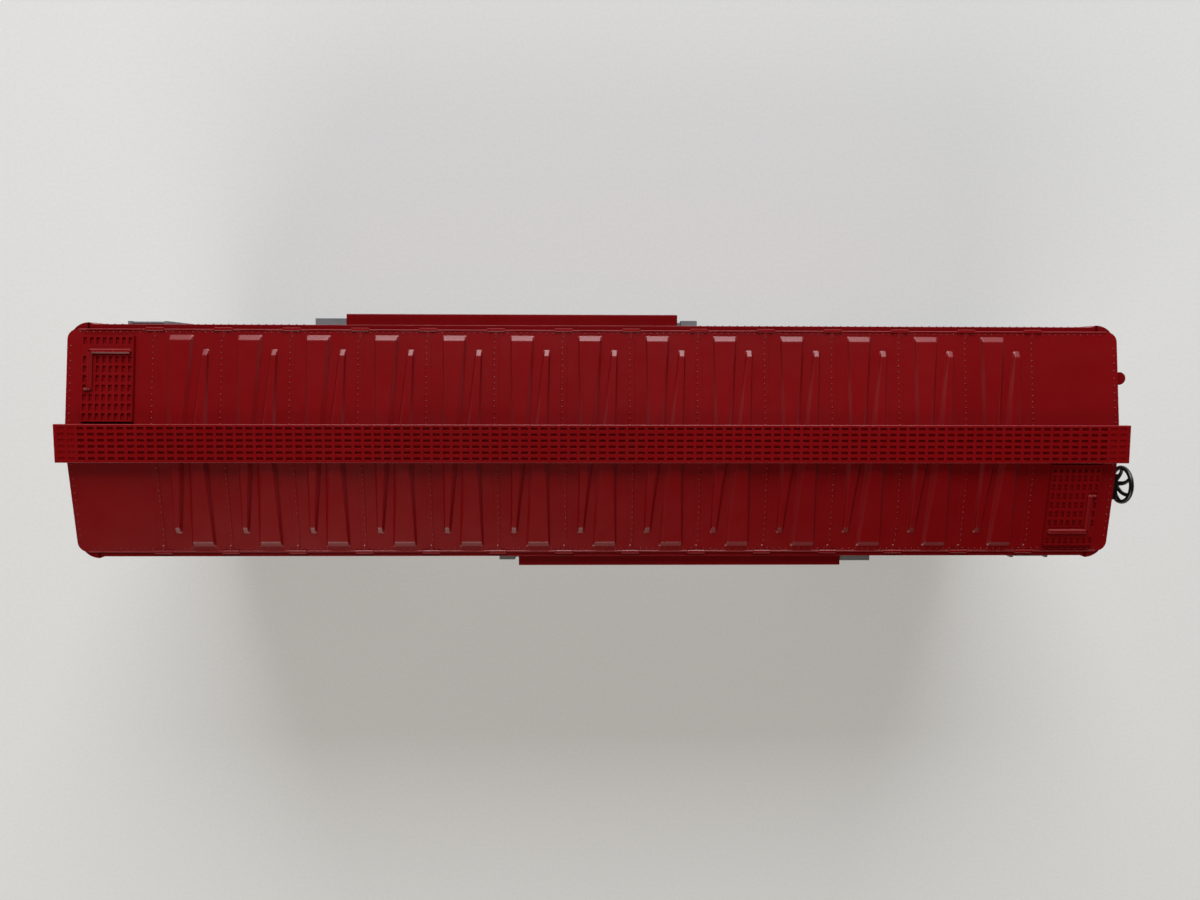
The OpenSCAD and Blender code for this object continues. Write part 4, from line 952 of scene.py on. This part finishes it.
flange, back = 1.1, 14.6 * MM
worn_in, worn_over = 2.0, 0.7  # the polish starts this far inside the flange's edge and is full after this much more
for k in range(1, 5):
    low, high = box_of(f"wheels_{k}")
    axle_low, axle_high = box_of(f"axle_{k}")
    centre = (low + high) / 2
    radius = 1000 * (high[2] - low[2]) / 2
    axle_r = 1000 * (axle_high[2] - axle_low[2]) / 2
    width = 1000 * (high[1] - back)
    section = wheel_profile(radius - flange, flange, axle_r + 0.02, width)
    pair = [lathe(section, centre + [0, s * back, 0], (0, s, 0), around=64, closed=True) for s in (-1, 1)]
    wheels = piece(f"wheels_{k}_turned", joined(pair), f"wheelset_{k}", "wheel_metal", replaces=[f"wheels_{k}"],
                   sharp=50)
    co = np.empty(3 * len(wheels.data.vertices), np.float32)
    wheels.data.vertices.foreach_get("co", co)
    from_axle = np.hypot(*(co.reshape(-1, 3)[:, [0, 2]] - centre[[0, 2]]).T) * 1000
    shine = wheels.data.attributes.new("polish", "FLOAT", "POINT")
    shine.data.foreach_set("value", np.clip((from_axle - (radius - worn_in)) / worn_over, 0, 1).astype(np.float32))
    half = 1000 * (axle_high[1] - axle_low[1]) / 2
    shape = rounded([(-half, 0.15), (-half + 0.8, 0.75), (-half + 1.2, axle_r), (-14.2, axle_r),
                     (-13.4, axle_r - 0.12), (0, axle_r - 0.22), (13.4, axle_r - 0.12), (14.2, axle_r),
                     (half - 1.2, axle_r), (half - 0.8, 0.75), (half, 0.15)], 0.3) * MM
    piece(f"axle_{k}_turned", lathe(shape, centre, (0, 1, 0), around=32), f"wheelset_{k}", "axle_steel",
          replaces=[f"axle_{k}"], sharp=50)
print("wheel section:", len(section), "points, tread radius", round(radius - flange, 2), "mm")

# %% [markdown]
# The truck springs carry the weight of the car. A ribbed cylinder could stand for each, but light shows between real
# coils, so each is a wire on a helix, with a thin post inside that holds it.

# %% Truck springs
spring_wire, spring_post = 0.3 * MM, 0.5 * MM
coil_turns, coil_points = 4.5, 90
for end in ("a", "b"):
    coils = []
    for low, high in solids(f"truck_springs_{end}"):
        middle = (low + high) / 2
        coil_r = (high[0] - low[0]) / 2 - spring_wire
        a = np.linspace(0, 2 * np.pi * coil_turns, coil_points)
        z = np.linspace(low[2] + spring_wire, high[2] - spring_wire, coil_points)
        coils.append(tube(np.stack([middle[0] + coil_r * np.cos(a), middle[1] + coil_r * np.sin(a), z], 1),
                          spring_wire, up=(0, 0, 1), around=8))
        tall = high[2] - low[2]
        coils.append(lathe([(0, 0.1 * MM), (0, spring_post), (tall, spring_post), (tall, 0.1 * MM)],
                           [middle[0], middle[1], low[2]], (0, 0, 1), around=12))
    piece(f"truck_springs_{end}_coiled", joined(coils), f"{end}_truck", "spring_steel",
          replaces=[f"truck_springs_{end}"])
    print("springs on truck", end, ":", len(coils) // 2)

# %% [markdown]
# The side frames get what makes a truck read as a truck: a round lid on each journal box, and the nuts above that
# hold the box. They could be drawn in the frame itself, but they are turned shapes, so the lathe makes them.

# %% Journal lids and nuts
lid_r, lid_out = 2.1 * MM, 0.04 * MM
nut_x, nut_up, nut_back = 1.9 * MM, 3.7 * MM, 1.65 * MM
for end, wheelsets in (("a", (1, 2)), ("b", (3, 4))):
    detail = []
    frame_out = box_of(f"truck_sides_{end}")[1][1]
    for k in wheelsets:
        axle_low, axle_high = box_of(f"axle_{k}")
        x, z = (axle_low[0] + axle_high[0]) / 2, (axle_low[2] + axle_high[2]) / 2
        for s in (-1, 1):
            face = s * (frame_out - 0.05 * MM)
            lid = rounded([(0, lid_r), (0.25 * MM, lid_r), (0.4 * MM, 0.7 * MM), (0.45 * MM, 0.05 * MM)], 0.2 * MM)
            lid[:, 0] = np.minimum(lid[:, 0], lid_out)
            detail.append(lathe(lid, (x, face, z), (0, s, 0), around=24))
            detail += [lathe([(0, 0.55 * MM), (0.5 * MM, 0.55 * MM), (0.6 * MM, 0.4 * MM)],
                             (x + dx, s * (frame_out - nut_back), z + nut_up), (0, s, 0), around=6)
                       for dx in (-nut_x, nut_x)]
    piece(f"truck_{end}_lids", joined(detail), f"{end}_truck", "underframe_black", sharp=30)
    print("lids and nuts on truck", end, ":", len(detail))

# %% [markdown]
# ## Finishes
#
# A finish could be clicked together in the shader editor, but in a script it can be read and changed. Colours are
# written as sRGB hex values, as a paint chart gives them, and one function turns them to the linear numbers that a
# shader needs. One more function adds a node. Everything below is built from those two.

# %% Colours and nodes
def hex_rgb(text):
    """An sRGB hex colour as linear RGBA: each channel c becomes c/12.92 or ((c+0.055)/1.055)^2.4."""
    c = np.array([int(text[i:i + 2], 16) for i in (1, 3, 5)]) / 255
    return (*np.where(c <= 0.04045, c / 12.92, ((c + 0.055) / 1.055) ** 2.4), 1.0)


def node(tree, kind, links=(), **settings):
    """Adds a node. settings names its properties, or its input sockets with spaces written as underscores, and links
    pairs an input's name or number with the output that feeds it."""
    made = tree.nodes.new(kind)
    for key, value in settings.items():
        if hasattr(made, key):
            setattr(made, key, value)
        else:
            made.inputs[key.replace("_", " ")].default_value = value
    for socket, source in links:
        tree.links.new(source, made.inputs[socket])
    return made


def new_material(name, **shader):
    """A material with its Principled shader, and its Object coordinates scaled to millimetres."""
    material = bpy.data.materials.new(name)
    material.use_nodes = True
    tree = material.node_tree
    tree.nodes.clear()
    surface = node(tree, "ShaderNodeBsdfPrincipled", **shader)
    node(tree, "ShaderNodeOutputMaterial", links=[("Surface", surface.outputs["BSDF"])])
    place = node(tree, "ShaderNodeTexCoord")
    scaled = node(tree, "ShaderNodeVectorMath", links=[(0, place.outputs["Object"])], operation="MULTIPLY")
    scaled.inputs[1].default_value = (1000, 1000, 1000)
    return material, tree, surface, scaled.outputs["Vector"]


print("mid grey #808080 is", round(float(hex_rgb("#808080")[0]), 3), "in linear light")

# %% [markdown]
# Real surfaces are never quite even. An image could carry the blotches, but it needs a UV map and a file. Noise on
# Object coordinates needs neither, and because those are scaled to millimetres, each pattern has a real size.

# %% Patterns
def mottle(tree, place, size, detail=3, stretch=(1, 1, 1)):
    """Noise with blotches about size millimetres across, longer by stretch, as a value from 0 to 1."""
    spread = node(tree, "ShaderNodeMapping", links=[("Vector", place)])
    spread.inputs["Scale"].default_value = tuple(1 / (size * s) for s in stretch)
    noise = node(tree, "ShaderNodeTexNoise", links=[("Vector", spread.outputs["Vector"])], Scale=1.0, Detail=detail,
                 Roughness=0.55)
    return noise.outputs["Fac"]


def between(tree, factor, low, high, from_low=0.3, from_high=0.7):
    """Maps a value to a number or a colour: low at from_low, high at from_high, straight in between."""
    if isinstance(low, str):
        ramp = node(tree, "ShaderNodeValToRGB", links=[("Fac", factor)])
        ramp.color_ramp.elements[0].position, ramp.color_ramp.elements[1].position = from_low, from_high
        ramp.color_ramp.elements[0].color, ramp.color_ramp.elements[1].color = hex_rgb(low), hex_rgb(high)
        return ramp.outputs["Color"]
    span = node(tree, "ShaderNodeMapRange", links=[("Value", factor)])
    span.inputs["From Min"].default_value, span.inputs["From Max"].default_value = from_low, from_high
    span.inputs["To Min"].default_value, span.inputs["To Max"].default_value = low, high
    return span.outputs["Result"]


def rough_skin(tree, surface, height, depth_mm):
    """Feeds a height from 0 to 1 to the shader as a bump of depth_mm."""
    bump = node(tree, "ShaderNodeBump", links=[("Height", height)], Strength=1.0)
    bump.inputs["Distance"].default_value = depth_mm * MM
    tree.links.new(bump.outputs["Normal"], surface.inputs["Normal"])


print("materials so far:", len(bpy.data.materials))

# %% [markdown]
# ### Red moulded styrene
#
# The body is polystyrene coloured in the mould: a deep oxide red with a satin skin, because the steel mould was
# blasted. That gives broad soft highlights and a very fine grain. One flat colour could do for a small part, but on a
# long roof it looks drawn, so colour and gloss drift slightly over centimetres, as plastic cools unevenly in a long
# mould.

# %% Red styrene
red, tree, surface, place = new_material("red styrene, moulded satin", IOR=1.59, Specular_IOR_Level=0.26)
drift = mottle(tree, place, 38, detail=4)
tree.links.new(between(tree, drift, "#700508", "#76060a", 0.35, 0.65), surface.inputs["Base Color"])
tree.links.new(between(tree, mottle(tree, place, 6, detail=4), 0.28, 0.33), surface.inputs["Roughness"])
# Blasted-mould grain, really about 0.05 mm, drawn at 0.22 mm so that it shows.
rough_skin(tree, surface, mottle(tree, place, 0.22, detail=2), 0.006)
print(red.name, ":", len(tree.nodes), "nodes")

# %% [markdown]
# ### Grey and black mouldings
#
# Ladders, rails and steps are acetal, a slippery grey plastic with a duller skin, and the brake gear is a glossier
# black one. The frame below is matt black styrene. Its dust could be a second layer of mesh, but it has no thickness
# to see, so a brown is mixed in, more of it low down, where a running car collects it.

# %% Grey and black plastics
grey, tree, surface, place = new_material("grey acetal, moulded", IOR=1.48, Specular_IOR_Level=0.5)
tone = mottle(tree, place, 9, detail=4)
tree.links.new(between(tree, tone, "#6f7173", "#7f8182"), surface.inputs["Base Color"])
tree.links.new(between(tree, tone, 0.42, 0.55), surface.inputs["Roughness"])
rough_skin(tree, surface, mottle(tree, place, 0.25, detail=2), 0.01)

black, tree, surface, place = new_material("black acetal, moulded gloss", IOR=1.48, Specular_IOR_Level=0.5)
tone = mottle(tree, place, 3, detail=4)
tree.links.new(between(tree, tone, "#0d0b09", "#171411"), surface.inputs["Base Color"])
tree.links.new(between(tree, tone, 0.26, 0.38), surface.inputs["Roughness"])
rough_skin(tree, surface, mottle(tree, place, 0.3, detail=2), 0.008)

frame_black, tree, surface, place = new_material("black styrene, moulded matt", IOR=1.55, Specular_IOR_Level=0.4)
tone = mottle(tree, place, 6, detail=5)
height_up = node(tree, "ShaderNodeSeparateXYZ", links=[(0, place)]).outputs["Z"]
low_down = between(tree, height_up, 0.34, 0.05, 4, 26)
grime = node(tree, "ShaderNodeMath", links=[(0, low_down), (1, between(tree, tone, 0.15, 1.0))],
             operation="MULTIPLY")
coated = node(tree, "ShaderNodeMix", links=[(0, grime.outputs[0]), (6, between(tree, tone, "#17171a", "#222225"))],
              data_type="RGBA")
coated.inputs[7].default_value = hex_rgb("#5c5046")
tree.links.new(coated.outputs[2], surface.inputs["Base Color"])
tree.links.new(between(tree, tone, 0.5, 0.68), surface.inputs["Roughness"])
rough_skin(tree, surface, mottle(tree, place, 0.3, detail=3), 0.015)
print("plastics:", [plastic.name for plastic in (grey, black, frame_black)])

# %% [markdown]
# ### Metals
#
# Wheels are turned steel, chemically blackened, with the rolling surfaces worn bright. Axles are plain turned steel
# with fine rings of tool marks, and screws are zinc plated. A metal keeps the shader's own IOR: its colour and its
# roughness say what it is.

# %% Wheel, axle and screw steel
wheel_steel, tree, surface, place = new_material("steel, turned and blackened", Metallic=1.0)
tone = mottle(tree, place, 2.5, detail=4)
shine = node(tree, "ShaderNodeAttribute", attribute_name="polish").outputs["Fac"]
worn = node(tree, "ShaderNodeMath", links=[(0, shine), (1, between(tree, tone, 0.7, 1.0))], operation="MULTIPLY")
mixed = node(tree, "ShaderNodeMix", links=[(0, worn.outputs[0]), (6, between(tree, tone, "#3c3937", "#4d4845"))],
             data_type="RGBA")
mixed.inputs[7].default_value = hex_rgb("#c4c2bd")
tree.links.new(mixed.outputs[2], surface.inputs["Base Color"])
tree.links.new(between(tree, worn.outputs[0], 0.52, 0.24, 0, 1), surface.inputs["Roughness"])
rough_skin(tree, surface, mottle(tree, place, 0.35, detail=2, stretch=(3, 0.4, 3)), 0.008)

axle_steel, tree, surface, place = new_material("steel, bright turned", Metallic=1.0)
# Tool marks run round the axle, so the noise is squeezed along Y: rings really 0.05 mm apart, drawn at 0.15 mm.
rings = mottle(tree, place, 0.15, detail=2, stretch=(30, 1, 30))
tree.links.new(between(tree, rings, "#a9a8a6", "#c9c8c5"), surface.inputs["Base Color"])
tree.links.new(between(tree, mottle(tree, place, 4), 0.24, 0.4), surface.inputs["Roughness"])
rough_skin(tree, surface, rings, 0.008)

screw_steel, tree, surface, place = new_material("steel, zinc plated", Metallic=1.0)
tone = mottle(tree, place, 1.2, detail=4)
tree.links.new(between(tree, tone, "#a4a6a3", "#c3c4bd"), surface.inputs["Base Color"])
tree.links.new(between(tree, tone, 0.26, 0.42), surface.inputs["Roughness"])
rough_skin(tree, surface, mottle(tree, place, 0.3, detail=2), 0.006)
print("turned metals:", [metal.name for metal in (wheel_steel, axle_steel, screw_steel)])

# %% [markdown]
# Couplers are die cast and blackened, with a sandy skin, and the springs are blackened wire. The weight is a strip of
# rolled sheet. Its grain could be an image stretched along it, but noise squeezed across the strip gives the same long
# streaks at their real size.

# %% Castings, springs and the weight
cast, tree, surface, place = new_material("zinc, die cast and blackened", Metallic=0.75)
tone = mottle(tree, place, 1.6, detail=5)
tree.links.new(between(tree, tone, "#2b2724", "#443e39"), surface.inputs["Base Color"])
tree.links.new(between(tree, tone, 0.46, 0.66), surface.inputs["Roughness"])
# The sandy skin of the casting: grains of about 0.2 mm.
rough_skin(tree, surface, mottle(tree, place, 0.2, detail=3), 0.03)

spring_steel, tree, surface, place = new_material("steel wire, blackened", Metallic=1.0)
tone = mottle(tree, place, 1.0, detail=3)
tree.links.new(between(tree, tone, "#35322f", "#59544f"), surface.inputs["Base Color"])
tree.links.new(between(tree, tone, 0.34, 0.5), surface.inputs["Roughness"])
rough_skin(tree, surface, mottle(tree, place, 0.2, detail=2), 0.006)

weight_steel, tree, surface, place = new_material("steel sheet, rolled", Metallic=1.0)
grain = mottle(tree, place, 0.3, detail=4, stretch=(40, 1, 1))
tree.links.new(between(tree, grain, "#8b8a88", "#a3a19c"), surface.inputs["Base Color"])
tree.links.new(between(tree, grain, 0.34, 0.5), surface.inputs["Roughness"])
rough_skin(tree, surface, grain, 0.01)
print("other metals:", [metal.name for metal in (cast, spring_steel, weight_steel)])

# %% [markdown]
# Each slot of the record now gets its finish: first the CAD nodes that still show, then every new piece.

# %% Hand out the finishes
finish_of = {"body_red": red, "fittings_grey": grey, "brake_black": black, "underframe_black": frame_black,
             "wheel_metal": wheel_steel, "axle_steel": axle_steel, "screw_steel": screw_steel, "coupler_metal": cast,
             "spring_steel": spring_steel, "weight_steel": weight_steel}
for name, obj in frame["nodes"].items():
    for slot in obj.material_slots:
        slot.material = finish_of[slot_of[name]]
for name in faces_made:
    obj = bpy.data.objects[name]
    obj.data.materials.clear()
    obj.data.materials.append(finish_of[obj["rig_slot"]])
print("finishes:", len(finish_of), "on", len(faces_made), "new pieces")

# %% [markdown]
# ## Floor
#
# The car stands on a sheet of plain pale paper. A curved backdrop could hide the horizon, but from above only the
# floor shows, so a flat sheet is enough. It glows faintly, as white paper under a bright sky seems to, which keeps its
# shadow side pale.

# %% Stage
def stage_grid(size, count=5):
    """A flat square of count by count points at z = 0, centred under the car."""
    step = np.linspace(-size / 2, size / 2, count)
    x, y = np.meshgrid(step, step)
    mesh = bpy.data.meshes.new("floor_sheet")
    mesh.from_pydata(np.stack([x, y, 0 * x], -1).reshape(-1, 3).tolist(), [], grid_faces(count, count).tolist())
    return bpy.data.objects.new("floor_sheet", mesh)


paper, tree, surface, place = new_material("paper, matt", IOR=1.45, Specular_IOR_Level=0.15)
fibre = mottle(tree, place, 1.1, detail=5)
tree.links.new(between(tree, fibre, "#b4b4b2", "#babab8"), surface.inputs["Base Color"])
surface.inputs["Roughness"].default_value = 0.9
surface.inputs["Emission Color"].default_value = hex_rgb("#f2f2ee")
surface.inputs["Emission Strength"].default_value = 0.28
rough_skin(tree, surface, fibre, 0.02)
ground = stage_grid(6.0)
ground.data.materials.append(paper)
bpy.context.scene.collection.objects.link(ground)
print("floor:", len(ground.data.polygons), "faces")

# %% [markdown]
# ## Light
#
# A satin roof mirrors whatever is straight above it, so a lamp overhead would turn the deep red pink. Two large soft
# lights stand low on both sides instead, a strong cool one as a window and a weak warm one as the wall across the
# room. The room itself could be one even grey, but it is made dark overhead and bright low down towards the window,
# so that the roof keeps its colour and only edges and rib tips catch a highlight.

# %% Light
def soft_light(name, place, target, size, power, colour):
    """A square area light at place, turned to face target."""
    data = bpy.data.lights.new(name, "AREA")
    data.shape, data.size, data.energy, data.color = "SQUARE", size, power, hex_rgb(colour)[:3]
    lamp = bpy.data.objects.new(name, data)
    lamp.location = place
    aim = Vector(target) - Vector(place)
    lamp.rotation_euler = aim.to_track_quat("-Z", "Y").to_euler()
    bpy.context.scene.collection.objects.link(lamp)


soft_light("window", (0.0, 1.3, 0.74), (0, 0.05, 0), 1.1, 33, "#f8faff")
soft_light("far wall", (-0.35, -1.3, 0.8), (0, -0.1, 0), 1.1, 15, "#fff6ea")
world = bpy.data.worlds.new("room")
world.use_nodes = True
room = world.node_tree
heading = node(room, "ShaderNodeSeparateXYZ", links=[(0, node(room, "ShaderNodeTexCoord").outputs["Generated"])])
# Brightness falls with the height of the view direction, and rises as it turns towards the window at +Y.
low_light = between(room, heading.outputs["Z"], 1.7, 0.02, 0.1, 0.55)
window_side = between(room, heading.outputs["Y"], 0.16, 1.0, -0.2, 0.8)
room_light = node(room, "ShaderNodeMath", links=[(0, low_light), (1, window_side)], operation="MULTIPLY")
backdrop = room.nodes["Background"]
backdrop.inputs["Color"].default_value = hex_rgb("#e9ecee")
room.links.new(room_light.outputs[0], backdrop.inputs["Strength"])
bpy.context.scene.world = world
bpy.context.scene.view_settings.view_transform = "Standard"
print("lights:", [light.name for light in bpy.data.lights])

# %% [markdown]
# ## Camera
#
# The camera hangs about 0.23 m above the roof and looks almost straight down, a few degrees off plumb. From so near,
# the roof hides the sides, and the running board, which is closer still, looks a little longer than it is. It could
# be aimed with a Track To constraint, but typed angles give the same view on every run.

# %% Camera
eye = bpy.data.cameras.new("camera")
eye.lens, eye.sensor_width = 26.99, 36
camera = bpy.data.objects.new("camera", eye)
camera.location = (-0.00348, 0.01855, 0.32136)
camera.rotation_euler = np.radians((-5.103, -1.023, 0.139))
eye.clip_start, eye.clip_end = 0.01, 20
bpy.context.scene.collection.objects.link(camera)
bpy.context.scene.camera = camera
print("camera:", round(camera.location.z - roof_high[2], 3), "m above the roof")
